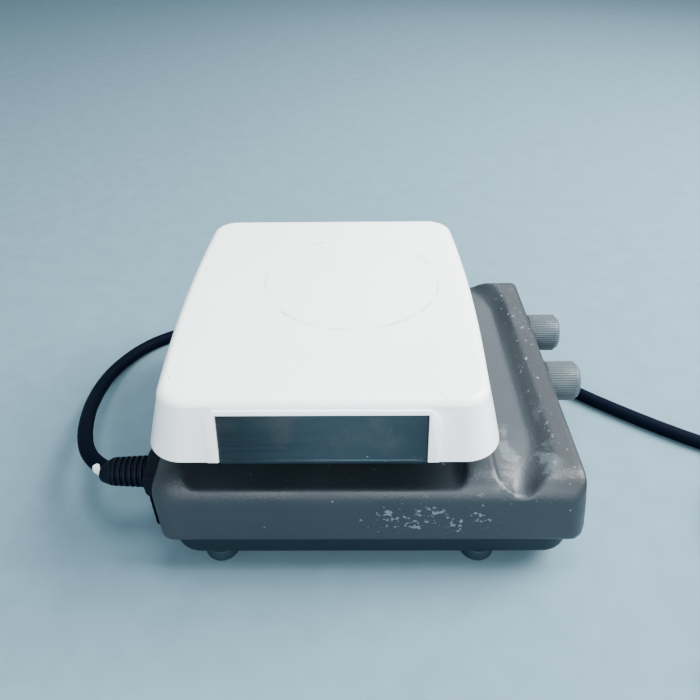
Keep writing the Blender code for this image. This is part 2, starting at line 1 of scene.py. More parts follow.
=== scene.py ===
"""Finished look of a hotplate magnetic stirrer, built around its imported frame."""
import json
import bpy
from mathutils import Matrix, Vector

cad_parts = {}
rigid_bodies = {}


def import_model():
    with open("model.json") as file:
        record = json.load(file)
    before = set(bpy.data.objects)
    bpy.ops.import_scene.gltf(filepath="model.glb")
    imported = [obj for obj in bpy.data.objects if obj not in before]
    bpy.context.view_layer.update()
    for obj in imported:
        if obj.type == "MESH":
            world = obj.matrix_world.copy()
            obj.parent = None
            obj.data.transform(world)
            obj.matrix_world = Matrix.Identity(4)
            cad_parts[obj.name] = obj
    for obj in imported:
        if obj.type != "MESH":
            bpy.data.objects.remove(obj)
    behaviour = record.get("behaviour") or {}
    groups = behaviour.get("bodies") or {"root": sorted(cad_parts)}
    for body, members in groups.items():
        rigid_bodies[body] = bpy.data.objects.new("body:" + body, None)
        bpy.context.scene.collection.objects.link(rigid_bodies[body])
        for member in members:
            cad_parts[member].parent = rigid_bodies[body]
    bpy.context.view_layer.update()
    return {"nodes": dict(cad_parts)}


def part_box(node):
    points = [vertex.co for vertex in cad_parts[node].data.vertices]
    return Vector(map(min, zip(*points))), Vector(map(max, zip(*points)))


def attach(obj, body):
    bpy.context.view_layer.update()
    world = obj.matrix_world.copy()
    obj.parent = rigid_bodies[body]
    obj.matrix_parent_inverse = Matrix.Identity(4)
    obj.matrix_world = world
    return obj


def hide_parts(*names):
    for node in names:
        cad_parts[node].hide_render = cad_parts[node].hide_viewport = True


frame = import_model()

import bpy
import bmesh
from math import cos, sin, tan, pi, radians, sqrt
from mathutils import Matrix, Vector
from bpy.props import FloatProperty, FloatVectorProperty, IntProperty, PointerProperty

bl_info = {
    "name": "Hotplate Stirrer Look",
    "version": (1, 0, 0),
    "blender": (4, 5, 0),
    "location": "3D View > Sidebar > Stirrer",
    "description": "Builds the finished pieces, materials and stage of a hotplate magnetic stirrer",
    "category": "Object",
}

GAP = 0.0003
TOWARDS_FRONT = Matrix.Rotation(pi / 2, 4, "X")     # local +Z becomes -Y

# ceramic top, as the frame's own top_plate
PLATE_LOW, PLATE_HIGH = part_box("top_plate")
PLATE_Y = (PLATE_LOW[1] + PLATE_HIGH[1]) / 2
PLATE_RIM, PLATE_TOP = PLATE_LOW[2], PLATE_HIGH[2]
PLATE_HALF_X, PLATE_HALF_Y = 0.0896, 0.076
PLATE_FLARE, PLATE_EDGE, PLATE_CORNER, PLATE_BOW = tan(radians(14)), 0.0045, 0.0155, 0.0035
PLATE_WALL, PLATE_THICK = 0.0045, 0.005
PANEL_HALF, PANEL_HIGH, PANEL_RISE = 0.044, 0.020, 0.0028
PAD_HALF, PAD_HIGH, PAD_PROUD, PAD_CHAMFER = 0.049, 0.0252, 0.0009, 0.004

# cast body, as body_shell
BODY_LOW, BODY_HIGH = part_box("body_shell")
BODY_HALF_X, BODY_FRONT, BODY_REAR = BODY_HIGH[0], BODY_LOW[1], BODY_HIGH[1]
BODY_BOTTOM, BODY_TOP, SIDE_TOP = BODY_LOW[2], BODY_HIGH[2], 0.050
SHOULDER, BODY_CORNER, REAR_ROUND = 0.013, 0.008, 0.010
CREST, CREST_ROUND = -0.0856, 0.003
LEAN_Y, LEAN_Z, LEAN_FOOT = -0.0879, 0.045, 0.030
LEDGE, RECESS_DEEP, RECESS_ROUND = 0.0572, 0.064, 0.007
RECESS_FRONT, RECESS_REAR = -0.0324, 0.0973
GROOVE_REAR, GROOVE_LINE, GROOVE_RIM = -0.0450, -0.0645, -0.0765
GROOVE_LOW, GROOVE_EDGE, GROOVE_SWING = 0.0565, 0.0592, 0.009

PAN_LOW, PAN_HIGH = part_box("base_pan")
KNOB_BORE, DIAL_RADIUS = 0.0172, 0.0143
LIT_SPOT = Vector((0.0, 0.0, 0.05))     # where every light points

# lead
CORD_R = 0.004
COIL_LOW, COIL_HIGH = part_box("cord_coil")
COIL_X, COIL_Y = (COIL_LOW[0] + COIL_HIGH[0]) / 2, (COIL_LOW[1] + COIL_HIGH[1]) / 2
LEAD = [
    (-0.0590, 0.1420, 0.0400), (-0.0545, 0.1486, 0.0396), (-0.0475, 0.1552, 0.0384),
    (-0.0380, 0.1610, 0.0363), (-0.0225, 0.1674, 0.0324), (-0.0015, 0.1738, 0.0262),
    (0.0160, 0.1778, 0.0205), (0.0333, 0.1802, 0.0155), (0.0520, 0.1806, 0.0108),
    (0.0708, 0.1772, 0.0070), (0.0880, 0.1695, 0.0048), (0.1010, 0.1570, 0.0041),
    (0.1110, 0.1390, 0.0041), (0.1185, 0.1150, 0.0041), (0.1245, 0.0780, 0.0041),
    (0.1280, 0.0320, 0.0041), (0.1260, -0.0180, 0.0041), (0.1180, -0.0600, 0.0041),
    (0.1020, -0.0880, 0.0041), (0.0800, -0.1010, 0.0041), (0.0600, -0.1080, 0.0041),
    (0.0400, -0.1240, 0.0041), (0.0140, -0.1560, 0.0041), (-0.0050, -0.1840, 0.0041),
    (-0.0145, -0.2030, 0.0042), (-0.0182, -0.2120, 0.0043),
]
TAIL = [(-0.1390, -0.2330, 0.0128), (-0.1415, -0.2240, 0.0125), (-0.1440, -0.2140, 0.0122),
        (-0.1445, -0.2060, 0.0120), (-0.1445, -0.1960, 0.0120)]


def colour(title, what, default):
    """A finish's colour, as a setting."""
    return FloatVectorProperty(
        name=title, description=what, subtype="COLOR", size=3, default=default, min=0, max=1)


class StirrerSettings(bpy.types.PropertyGroup):
    """Sizes and colours a user would change."""
    ceramic_color: colour("Ceramic", "Colour of the top", (0.86, 0.88, 0.88))
    paint_color: colour("Paint", "Colour of the cast body", (0.030, 0.040, 0.049))
    pan_color: colour("Base pan", "Colour of the base pan", (0.0030, 0.013, 0.022))
    knob_color: colour("Knobs", "Colour of the knobs", (0.070, 0.094, 0.108))
    cord_color: colour("Lead", "Colour of the mains lead", (0.0025, 0.0060, 0.0140))
    floor_color: colour("Floor", "Colour of the floor and backdrop", (0.160, 0.245, 0.292))
    knob_ribs: IntProperty(name="Knob ribs", description="Ribs round each knob", default=52, min=12, max=120)
    knob_rib_size: FloatProperty(
        name="Rib size", description="Radius of one knob rib", default=0.00034, min=0.0001, max=0.001,
        unit="LENGTH")
    body_voxel: FloatProperty(
        name="Cast detail", description="Mesh size that rounds the casting's edges", default=0.00116,
        min=0.0008, max=0.004, unit="LENGTH")
    coil_turns: FloatProperty(
        name="Coil turns", description="Turns of lead stored in the coil", default=3.364, min=1, max=8)


# ---------------------------------------------------------------- mesh helpers

def settings():
    """Sizes and colours as set."""
    return bpy.context.scene.stirrer


def piece(name, mesh, finish=None, body="base", stands_for=()):
    """Links a finished mesh as a piece of the object."""
    obj = bpy.data.objects.new(name, mesh)
    bpy.context.scene.collection.objects.link(obj)
    if finish:
        mesh.materials.clear()
        mesh.materials.append(finish)
    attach(obj, body)
    if stands_for:
        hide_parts(*stands_for)
    return obj


def smoothed(mesh, sharp):
    """Smooth shading, with edges past this angle kept sharp."""
    mesh.shade_smooth()
    mesh.set_sharp_from_angle(angle=radians(sharp))
    return mesh


def middle(name):
    """Centre of a node's box."""
    low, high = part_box(name)
    return [(a + b) / 2 for a, b in zip(low, high)]


def closed_mesh(name, points, faces, sharp=35):
    """Mesh with its faces turned outwards."""
    mesh = bpy.data.meshes.new(name)
    mesh.from_pydata([tuple(p) for p in points], [], faces)
    bm = bmesh.new()
    bm.from_mesh(mesh)
    bmesh.ops.recalc_face_normals(bm, faces=bm.faces)
    bm.to_mesh(mesh)
    bm.free()
    return smoothed(mesh, sharp)


def loft(name, rings, sharp=35):
    """Closed solid through rings of equally many points."""
    size = len(rings[0])
    points = [p for ring in rings for p in ring]
    faces = [list(range(size)), list(range(len(points) - size, len(points)))]
    for k in range(len(rings) - 1):
        for i in range(size):
            j = (i + 1) % size
            faces.append([k * size + i, k * size + j, (k + 1) * size + j, (k + 1) * size + i])
    return closed_mesh(name, points, faces, sharp)


def turned(name, outline, place=Matrix(), steps=64, sharp=35):
    """Turns (radius, height) points about local Z; an outline that starts and ends at radius 0 is solid."""
    solid = outline[0][0] == 0
    rows = outline[1:-1] if solid else outline
    around = [(cos(2 * pi * k / steps), sin(2 * pi * k / steps)) for k in range(steps)]
    points = [(r * x, r * y, z) for r, z in rows for x, y in around]
    faces = []
    for i in range(len(rows) - solid):
        j = (i + 1) % len(rows)
        for k in range(steps):
            n = (k + 1) % steps
            faces.append([i * steps + k, i * steps + n, j * steps + n, j * steps + k])
    if solid:
        faces += [list(range(steps)), list(range(len(points) - steps, len(points)))]
    mesh = closed_mesh(name, points, faces, sharp)
    mesh.transform(place)
    return mesh


def arc(cx, cz, radius, start, end, steps):
    """Points of a circular arc in a profile, angles in degrees."""
    return [(cx + radius * cos(radians(start + (end - start) * k / steps)),
             cz + radius * sin(radians(start + (end - start) * k / steps))) for k in range(steps + 1)]


def rounded(half_x, half_y, corner, steps=8):
    """Rectangle with round corners, about the origin."""
    points = []
    for sx, sy, start in ((1, 1, 0), (-1, 1, 90), (-1, -1, 180), (1, -1, 270)):
        points += arc(sx * (half_x - corner), sy * (half_y - corner), corner, start, start + 90, steps)
    return points


def block(name, low, high, corner=0.0, steps=6):
    """Upright block between two corners."""
    cx, cy = (low[0] + high[0]) / 2, (low[1] + high[1]) / 2
    half_x, half_y = (high[0] - low[0]) / 2, (high[1] - low[1]) / 2
    flat = rounded(half_x, half_y, corner, steps) if corner else [
        (half_x, half_y), (-half_x, half_y), (-half_x, -half_y), (half_x, -half_y)]
    return loft(name, [[(cx + x, cy + y, z) for x, y in flat] for z in (low[2], high[2])])


def baked(mesh, modifiers):
    """Mesh after a list of modifiers: each is (kind, {setting: value})."""
    name = mesh.name
    obj = bpy.data.objects.new(name + "_work", mesh)
    bpy.context.scene.collection.objects.link(obj)
    guides = []
    for kind, values in modifiers:
        step = obj.modifiers.new(kind, kind)
        for key, value in values.items():
            if key == "object":
                guide = bpy.data.objects.new(value.name, value)
                bpy.context.scene.collection.objects.link(guide)
                guides.append(guide)
                value = guide
            setattr(step, key, value)
    graph = bpy.context.evaluated_depsgraph_get()
    made = bpy.data.meshes.new_from_object(obj.evaluated_get(graph))
    for used in [obj] + guides:
        old = used.data
        bpy.data.objects.remove(used, do_unlink=True)
        bpy.data.meshes.remove(old)
    made.name = name
    return made


def cut(other, operation="DIFFERENCE"):
    """Step of baked: takes another mesh away."""
    return ("BOOLEAN", {"operation": operation, "solver": "EXACT", "object": other})


def bevel(width, segments=2, angle=35):
    """Step of baked: breaks the edges."""
    return ("BEVEL", {"width": width, "segments": segments, "limit_method": "ANGLE",
                      "angle_limit": radians(angle), "harden_normals": False})


# ---------------------------------------------------------------- shader groups

class Graph:
    """Short way to wire nodes in a tree."""

    def __init__(self, tree):
        self.tree = tree

    def add(self, kind, **values):
        node = self.tree.nodes.new(kind)
        for key, value in values.items():
            setattr(node, key, value)
        return node

    def put(self, socket, value):
        if isinstance(value, bpy.types.NodeSocket):
            self.tree.links.new(value, socket)
        elif value is not None:
            socket.default_value = value

    def math(self, operation, a, b=None):
        node = self.add("ShaderNodeMath", operation=operation)
        self.put(node.inputs[0], a)
        self.put(node.inputs[1], b)
        return node.outputs[0]

    def mix(self, factor, a, b):
        node = self.add("ShaderNodeMix", data_type="RGBA")
        self.put(node.inputs[0], factor)
        self.put(node.inputs[6], a)
        self.put(node.inputs[7], b)
        return node.outputs[2]

    def ramp(self, value, low, high, to_low=0.0, to_high=1.0):
        node = self.add("ShaderNodeMapRange", interpolation_type="SMOOTHSTEP")
        for k, v in enumerate((value, low, high, to_low, to_high)):
            self.put(node.inputs[k], v)
        return node.outputs[0]

    def noise(self, vector, scale, detail=3.0, rough=0.55, distortion=0.0):
        node = self.add("ShaderNodeTexNoise")
        self.put(node.inputs["Vector"], vector)
        chosen = {"Scale": scale, "Detail": detail, "Roughness": rough, "Distortion": distortion}
        for key, value in chosen.items():
            self.put(node.inputs[key], value)
        return node.outputs["Fac"]

    def cells(self, vector, scale):
        """Distance to the nearest of scattered points."""
        node = self.add("ShaderNodeTexVoronoi", feature="F1")
        self.put(node.inputs["Vector"], vector)
        self.put(node.inputs["Scale"], scale)
        return node.outputs["Distance"]

    def scaled(self, vector, scale):
        node = self.add("ShaderNodeMapping")
        self.put(node.inputs["Vector"], vector)
        node.inputs["Scale"].default_value = scale
        return node.outputs[0]

    def axes(self, vector):
        node = self.add("ShaderNodeSeparateXYZ")
        self.put(node.inputs[0], vector)
        return node.outputs

    def window(self, value, low, high, soft):
        """1 between low and high, fading out over soft."""
        up = self.ramp(value, low - soft, low + soft)
        down = self.ramp(value, high - soft, high + soft, 1.0, 0.0)
        return self.math("MULTIPLY", up, down)


def new_group(name, inputs, outputs):
    """Empty shader group with its named sockets."""
    tree = bpy.data.node_groups.new(name, "ShaderNodeTree")
    for title, kind, value in inputs:
        socket = tree.interface.new_socket(name=title, in_out="INPUT", socket_type=kind)
        if value is not None:
            socket.default_value = value
    for title, kind in outputs:
        tree.interface.new_socket(name=title, in_out="OUTPUT", socket_type=kind)
    graph = Graph(tree)
    return graph, graph.add("NodeGroupInput").outputs, graph.add("NodeGroupOutput").inputs


def grain_group():
    """Fine pitted surface: a height and a slightly varying tone."""
    g, given, out = new_group("Fine grain", [
        ("Vector", "NodeSocketVector", None), ("Scale", "NodeSocketFloat", 900.0),
        ("Patch scale", "NodeSocketFloat", 30.0)],
        [("Height", "NodeSocketFloat"), ("Tone", "NodeSocketFloat")])
    fine = g.noise(given["Vector"], given["Scale"], 3.0, 0.6)
    patch = g.noise(given["Vector"], given["Patch scale"], 4.0, 0.6)
    g.put(out["Height"], fine)
    g.put(out["Tone"], patch)
    return g.tree


def chips_group():
    """Mask of small ragged paint chips; amount moves the threshold from none to many."""
    g, given, out = new_group("Chips", [
        ("Vector", "NodeSocketVector", None), ("Scale", "NodeSocketFloat", 260.0),
        ("Amount", "NodeSocketFloat", 0.3)], [("Mask", "NodeSocketFloat")])
    ragged = g.noise(given["Vector"], given["Scale"], 6.0, 0.62)
    flake = g.cells(given["Vector"], g.math("MULTIPLY", given["Scale"], 1.3))
    field = g.math("SUBTRACT", ragged, g.math("MULTIPLY", flake, 0.16))
    level = g.math("SUBTRACT", 0.66, g.math("MULTIPLY", given["Amount"], 0.17))
    g.put(out["Mask"], g.ramp(g.math("SUBTRACT", field, level), 0.0, 0.014))
    return g.tree


def scratches_group():
    """Mask of thin straight scratches across a surface."""
    g, given, out = new_group("Scratches", [
        ("Vector", "NodeSocketVector", None), ("Amount", "NodeSocketFloat", 0.5)],
        [("Mask", "NodeSocketFloat")])
    total = None
    for angle, stretch in ((0.5, 14.0), (-0.9, 10.0), (1.35, 18.0)):
        turned_axis = g.add("ShaderNodeMapping")
        g.put(turned_axis.inputs["Vector"], given["Vector"])
        turned_axis.inputs["Rotation"].default_value = (angle * 0.4, angle * 0.7, angle)
        squeezed = g.scaled(turned_axis.outputs[0], (stretch, 1.0, stretch * 0.7))
        line = g.noise(squeezed, 46.0, 2.0, 0.5)
        mask = g.ramp(line, 0.735, 0.76)
        total = mask if total is None else g.math("MAXIMUM", total, mask)
    patch = g.ramp(g.noise(given["Vector"], 22.0, 2.0), 0.48, 0.66)
    g.put(out["Mask"], g.math("MULTIPLY", g.math("MULTIPLY", total, patch), given["Amount"]))
    return g.tree


def brushed_group():
    """Long fine lines of a brushed sheet: a height and a tone."""
    g, given, out = new_group("Brushed", [
        ("Vector", "NodeSocketVector", None)], [("Height", "NodeSocketFloat"), ("Tone", "NodeSocketFloat")])
    lines = g.noise(g.scaled(given["Vector"], (900.0, 14.0, 900.0)), 1.0, 3.0, 0.6)
    broad = g.noise(g.scaled(given["Vector"], (60.0, 10.0, 60.0)), 1.0, 3.0, 0.6)
    g.put(out["Height"], lines)
    g.put(out["Tone"], broad)
    return g.tree


GROUPS = {}


def group(name):
    """The named shader group, made on first use."""
    makers = {"grain": grain_group, "chips": chips_group, "scratches": scratches_group,
              "brushed": brushed_group}
    if name not in GROUPS:
        GROUPS[name] = makers[name]()
    return GROUPS[name]


def use(g, name, vector, **values):
    """Places a shader group and sets its inputs."""
    node = g.add("ShaderNodeGroup", node_tree=group(name))
    g.put(node.inputs["Vector"], vector)
    for key, value in values.items():
        g.put(node.inputs[key.replace("_", " ").capitalize()], value)
    return node.outputs


def finish(name, color, rough, metal=0.0, spec=0.5):
    """New material with its shader; returns (material, graph, shader, object coordinates)."""
    made = bpy.data.materials.new(name)
    made.use_nodes = True
    g = Graph(made.node_tree)
    shader = made.node_tree.nodes["Principled BSDF"]
    shader.inputs["Base Color"].default_value = (*color, 1)
    shader.inputs["Roughness"].default_value = rough
    shader.inputs["Metallic"].default_value = metal
    shader.inputs["Specular IOR Level"].default_value = spec
    place = g.add("ShaderNodeTexCoord").outputs["Object"]
    return made, g, shader, place


def toned(color, share):
    """The colour at this share of its brightness, with alpha."""
    return tuple(min(c * share, 1) for c in color) + (1,)


def bumped(g, shader, height, strength, distance):
    """Raises the surface by a height."""
    node = g.add("ShaderNodeBump")
    node.inputs["Strength"].default_value = strength
    node.inputs["Distance"].default_value = distance
    g.put(node.inputs["Height"], height)
    g.put(shader.inputs["Normal"], node.outputs[0])


def moulded(name, color, rough=0.5, scale=1100.0, strength=0.25, spread=0.12, spec=0.5):
    """Plastic or rubber: fine texture, small variation of tone and gloss."""
    made, g, shader, place = finish(name, color, rough, spec=spec)
    grain = use(g, "grain", place, scale=scale)
    darker = toned(color, 1 - spread)
    lighter = toned(color, 1 + spread)
    g.put(shader.inputs["Base Color"], g.mix(grain["Tone"], darker, lighter))
    g.put(shader.inputs["Roughness"], g.ramp(grain["Tone"], 0.2, 0.8, rough - 0.06, rough + 0.08))
    bumped(g, shader, grain["Height"], strength, 0.0002)
    return made


def metal_finish(name, color, rough=0.32, dark=0.75, strength=0.12):
    """Bare metal with brush or draw marks."""
    made, g, shader, place = finish(name, color, rough, 1.0)
    lines = use(g, "brushed", place)
    g.put(shader.inputs["Base Color"], g.mix(lines["Tone"], toned(color, dark), (*color, 1)))
    g.put(shader.inputs["Roughness"], g.ramp(lines["Height"], 0.3, 0.7, rough - 0.05, rough + 0.10))
    bumped(g, shader, lines["Height"], strength, 0.0001)
    return made


def ceramic_finish():
    """White glass ceramic: faint ring of wear, grey rub marks, fine scratches."""
    color = settings().ceramic_color
    made, g, shader, place = finish("white_ceramic", color, 0.30, spec=0.5)
    tone = use(g, "grain", place, scale=60.0, patch_scale=14.0)
    x, y, z = g.axes(place)
    top = g.ramp(z, PLATE_TOP - 0.002, PLATE_TOP - 0.0005)
    shade = g.mix(g.ramp(tone["Tone"], 0.35, 0.75), (*color, 1), toned(color, 0.955))
    marks = use(g, "scratches", place, amount=1.0)
    marked = g.mix(g.math("MULTIPLY", marks["Mask"], top), shade, (0.16, 0.21, 0.26, 1))
    off_x = g.math("SUBTRACT", x, 0.012)
    off_y = g.math("SUBTRACT", y, PLATE_Y - 0.012)
    around = g.math("SQRT", g.math("ADD", g.math("POWER", off_x, 2.0), g.math("POWER", off_y, 2.0)))
    ring = g.window(around, 0.0445, 0.0452, 0.0008)
    broken = g.ramp(g.noise(place, 90.0, 4.0, 0.7), 0.44, 0.58)
    ring_mask = g.math("MULTIPLY", g.math("MULTIPLY", ring, broken), g.math("MULTIPLY", top, 0.85))
    ringed = g.mix(ring_mask, marked, (0.26, 0.31, 0.36, 1))
    smear = g.ramp(g.noise(g.scaled(place, (1.0, 0.45, 1.0)), 75.0, 5.0, 0.72, 0.6), 0.64, 0.72)
    smear_mask = g.math("MULTIPLY", g.math("MULTIPLY", smear, g.ramp(g.noise(place, 17.0, 1.0), 0.52, 0.62)),
                        g.math("MULTIPLY", top, 0.80))
    g.put(shader.inputs["Base Color"], g.mix(smear_mask, ringed, (0.28, 0.33, 0.38, 1)))
    g.put(shader.inputs["Roughness"], g.ramp(tone["Tone"], 0.3, 0.8, 0.26, 0.40))
    bumped(g, shader, tone["Height"], 0.04, 0.0003)
    return made


def paint_finish():
    """Cast grey enamel: orange peel, dust, chips and rubs where hands and benches touch it; painted shade darkens
    the groove's front flank and the ridge top.
    """
    color = settings().paint_color
    made, g, shader, place = finish("grey_enamel", color, 0.42, spec=0.55)
    grain = use(g, "grain", place, scale=700.0, patch_scale=24.0)
    x, y, z = g.axes(place)
    base = g.mix(grain["Tone"], toned(color, 0.86), toned(color, 1.12))
    # painted shade: the groove's front flank and the ridge top are darkened to 55 % of the paint colour
    ridge_painted_shade = g.math("MULTIPLY", g.ramp(y, -0.066, -0.078), g.ramp(z, 0.054, 0.060))
    base = g.mix(g.math("MULTIPLY", ridge_painted_shade, 0.85), base, toned(color, 0.55))
    dust = g.ramp(g.noise(place, 1500.0, 1.0, 0.5), 0.66, 0.72)
    dusted = g.mix(g.math("MULTIPLY", dust, 0.25), base, toned(color, 2.0))
    cluster = g.ramp(g.noise(place, 70.0, 3.0, 0.6), 0.40, 0.56)
    side = g.math("MULTIPLY", g.window(z, 0.030, 0.050, 0.005), g.window(y, -0.050, 0.014, 0.014))
    side = g.math("MULTIPLY", side, cluster)
    ridge = g.math("MULTIPLY", g.ramp(z, 0.055, 0.060), g.window(y, -0.084, -0.068, 0.004))
    worn = g.math("MAXIMUM", g.math("MULTIPLY", side, 1.2), g.math("MULTIPLY", ridge, 0.62))
    worn = g.math("MAXIMUM", worn, 0.20)
    chips = use(g, "chips", place, scale=330.0, amount=worn)
    stain = g.ramp(g.noise(place, 62.0, 4.0, 0.62, 0.3), 0.53, 0.63)
    stain = g.math("MULTIPLY", g.math("MULTIPLY", stain, g.window(y, -0.074, -0.044, 0.006)),
                   g.ramp(z, 0.0520, 0.0550))
    stained = g.mix(g.math("MULTIPLY", g.math("MULTIPLY", stain, g.ramp(x, -0.02, -0.06)), 0.42), dusted,
                    (0.155, 0.190, 0.210, 1))
    chipped = g.mix(g.math("MULTIPLY", chips["Mask"], 0.70), stained, (0.19, 0.235, 0.265, 1))
    rubs = use(g, "scratches", place, amount=0.35)
    g.put(shader.inputs["Base Color"], g.mix(rubs["Mask"], chipped, (0.26, 0.30, 0.33, 1)))
    g.put(shader.inputs["Roughness"], g.math("ADD", g.ramp(grain["Tone"], 0.3, 0.75, 0.34, 0.50),
                                             g.math("MULTIPLY", chips["Mask"], 0.2)))
    height = g.math("SUBTRACT", g.math("MULTIPLY", grain["Height"], 0.6), chips["Mask"])
    bumped(g, shader, height, 0.75, 0.0004)
    return made


def panel_finish():
    """Brushed steel of the panels in the skirt, with a few rub marks; its near-black colour is a painted
    reflection of dark surroundings.
    """
    # painted reflection: near-black colour standing in for the steel mirroring dark surroundings
    color = (0.026, 0.043, 0.054)
    made, g, shader, place = finish("dark_brushed_steel", color, 0.38, 0.85)
    lines = use(g, "brushed", place)
    marks = use(g, "scratches", place, amount=0.6)
    chips = use(g, "chips", place, scale=420.0, amount=0.15)
    worn = g.math("MAXIMUM", marks["Mask"], g.math("MULTIPLY", chips["Mask"], 0.4))
    smudge = use(g, "grain", place, patch_scale=55.0)
    tone = g.mix(lines["Tone"], toned(color, 0.7), toned(color, 1.5))
    tone = g.mix(g.ramp(smudge["Tone"], 0.42, 0.70, 0.0, 0.7), tone, (0.055, 0.066, 0.070, 1))
    g.put(shader.inputs["Base Color"], g.mix(worn, tone, (0.30, 0.34, 0.36, 1)))
    g.put(shader.inputs["Roughness"], g.ramp(lines["Height"], 0.3, 0.7, 0.30, 0.46))
    bumped(g, shader, lines["Height"], 0.10, 0.0001)
    return made


MADE = {}


def look(name):
    """The named material, made on first use."""
    makers = {
        "ceramic": ceramic_finish, "paint": paint_finish, "panel": panel_finish,
        "pan": lambda: moulded("pan_enamel", settings().pan_color, 0.45, 800.0, 0.2, 0.2),
        "rubber": lambda: moulded("foot_rubber", (0.014, 0.036, 0.048), 0.70, 500.0, 0.5, 0.18),
        "knob": lambda: moulded("knob_plastic", settings().knob_color, 0.42, 900.0, 0.15, 0.10),
        "cord": lambda: moulded("lead_sheath", settings().cord_color, 0.60, 420.0, 0.25, 0.25, 0.06),
        "black": lambda: moulded("black_plastic", (0.0022, 0.0055, 0.0135), 0.52, 900.0, 0.3, 0.25, 0.20),
        "white": lambda: moulded("marker_sleeve", (0.80, 0.82, 0.82), 0.45, 700.0, 0.15, 0.05),
        "screw": lambda: moulded("blackened_screw", (0.025, 0.035, 0.045), 0.40, 900.0, 0.2, 0.3),
        "zinc": lambda: metal_finish("zinc_plate", (0.62, 0.63, 0.62), 0.34),
        "sheet": lambda: metal_finish("sheet_steel", (0.48, 0.49, 0.50), 0.36),
        "aluminium": lambda: metal_finish("sink_metal", (0.72, 0.73, 0.74), 0.30),
        "brass": lambda: metal_finish("brass_parts", (0.78, 0.62, 0.32), 0.26, 0.85),
        "board": lambda: moulded("circuit_board_green", (0.02, 0.16, 0.07), 0.38, 300.0, 0.1, 0.2),
        "fibre": lambda: moulded("mineral_fibre", (0.66, 0.62, 0.54), 0.95, 260.0, 0.9, 0.15),
        "ferrite": lambda: moulded("magnet_ferrite", (0.10, 0.10, 0.11), 0.55, 600.0, 0.4, 0.2),
        "legend": lambda: moulded("legend_film", (0.0085, 0.0125, 0.0155), 0.35, 700.0, 0.08, 0.10),
        "print": lambda: moulded("legend_print", (0.62, 0.66, 0.68), 0.45, 700.0, 0.05, 0.05),
        "lens": lambda: moulded("amber_lens", (0.75, 0.30, 0.03), 0.12, 300.0, 0.05, 0.15),
    }
    if name not in MADE:
        MADE[name] = makers[name]()
    return MADE[name]


def paint_nodes(**chosen):
    """Gives CAD nodes their materials: look name = node names."""
    for key, names in chosen.items():
        for name in names.split():
            mesh = frame["nodes"][name].data
            mesh.materials.clear()
            mesh.materials.append(look(key))


# ---------------------------------------------------------------- geometry node trees

def ring_tree():
    """Bars set in a ring or an arc about Z, each pointing outwards."""
    tree = bpy.data.node_groups.new("Bars in a ring", "GeometryNodeTree")
    ask = tree.interface.new_socket
    ask(name="Geometry", in_out="OUTPUT", socket_type="NodeSocketGeometry")
    for title, kind, value in (
            ("Count", "NodeSocketInt", 12), ("Radius", "NodeSocketFloat", 0.01),
            ("Start", "NodeSocketFloat", 0.0), ("Sweep", "NodeSocketFloat", 2 * pi),
            ("Size", "NodeSocketVector", (0.001, 0.001, 0.001)), ("Corner", "NodeSocketInt", 6),
            ("Base", "NodeSocketFloat", 0.0), ("Material", "NodeSocketMaterial", None)):
        socket = ask(name=title, in_out="INPUT", socket_type=kind)
        if value is not None:
            socket.default_value = value
    g = Graph(tree)
    given, out = g.add("NodeGroupInput").outputs, g.add("NodeGroupOutput").inputs
    line = g.add("GeometryNodeMeshLine")
    g.put(line.inputs["Count"], given["Count"])
    line.inputs["Offset"].default_value = (0, 0, 0)
    index = g.add("GeometryNodeInputIndex").outputs[0]
    angle = g.math("MULTIPLY_ADD", index, g.math("DIVIDE", given["Sweep"], given["Count"]))
    g.put(angle.node.inputs[2], given["Start"])
    spot = g.add("ShaderNodeCombineXYZ")
    g.put(spot.inputs[0], g.math("MULTIPLY", g.math("COSINE", angle), given["Radius"]))
    g.put(spot.inputs[1], g.math("MULTIPLY", g.math("SINE", angle), given["Radius"]))
    g.put(spot.inputs[2], given["Base"])
    placed = g.add("GeometryNodeSetPosition")
    g.put(placed.inputs["Geometry"], line.outputs["Mesh"])
    g.put(placed.inputs["Position"], spot.outputs[0])
    bar = g.add("GeometryNodeMeshCylinder", fill_type="NGON")
    g.put(bar.inputs["Vertices"], given["Corner"])
    bar.inputs["Radius"].default_value = 1.0
    bar.inputs["Depth"].default_value = 1.0
    sized = g.add("GeometryNodeTransform")
    g.put(sized.inputs["Geometry"], bar.outputs["Mesh"])
    g.put(sized.inputs["Scale"], given["Size"])
    turn = g.add("ShaderNodeCombineXYZ")
    g.put(turn.inputs[2], angle)
    copies = g.add("GeometryNodeInstanceOnPoints")
    g.put(copies.inputs["Points"], placed.outputs["Geometry"])
    g.put(copies.inputs["Instance"], sized.outputs["Geometry"])
    g.put(copies.inputs["Rotation"], turn.outputs[0])
    real = g.add("GeometryNodeRealizeInstances")
    g.put(real.inputs["Geometry"], copies.outputs["Instances"])
    paint = g.add("GeometryNodeSetMaterial")
    g.put(paint.inputs["Geometry"], real.outputs["Geometry"])
    g.put(paint.inputs["Material"], given["Material"])
    g.put(out["Geometry"], paint.outputs["Geometry"])
    return tree


def bars(name, material, place, **values):
    """Plain mesh of the ring tree with these inputs, moved to its place."""
    tree = bpy.data.node_groups.get("Bars in a ring") or ring_tree()
    obj = bpy.data.objects.new(name, bpy.data.meshes.new(name))
    bpy.context.scene.collection.objects.link(obj)
    step = obj.modifiers.new("Bars", "NODES")
    step.node_group = tree
    keys = {item.name: item.identifier for item in tree.interface.items_tree if item.in_out == "INPUT"}
    for key, value in dict(values, material=material).items():
        step[keys[key.capitalize()]] = value
    graph = bpy.context.evaluated_depsgraph_get()
    mesh = bpy.data.meshes.new_from_object(obj.evaluated_get(graph))
    bpy.data.objects.remove(obj, do_unlink=True)
    mesh.name = name
    mesh.transform(place)
    return mesh


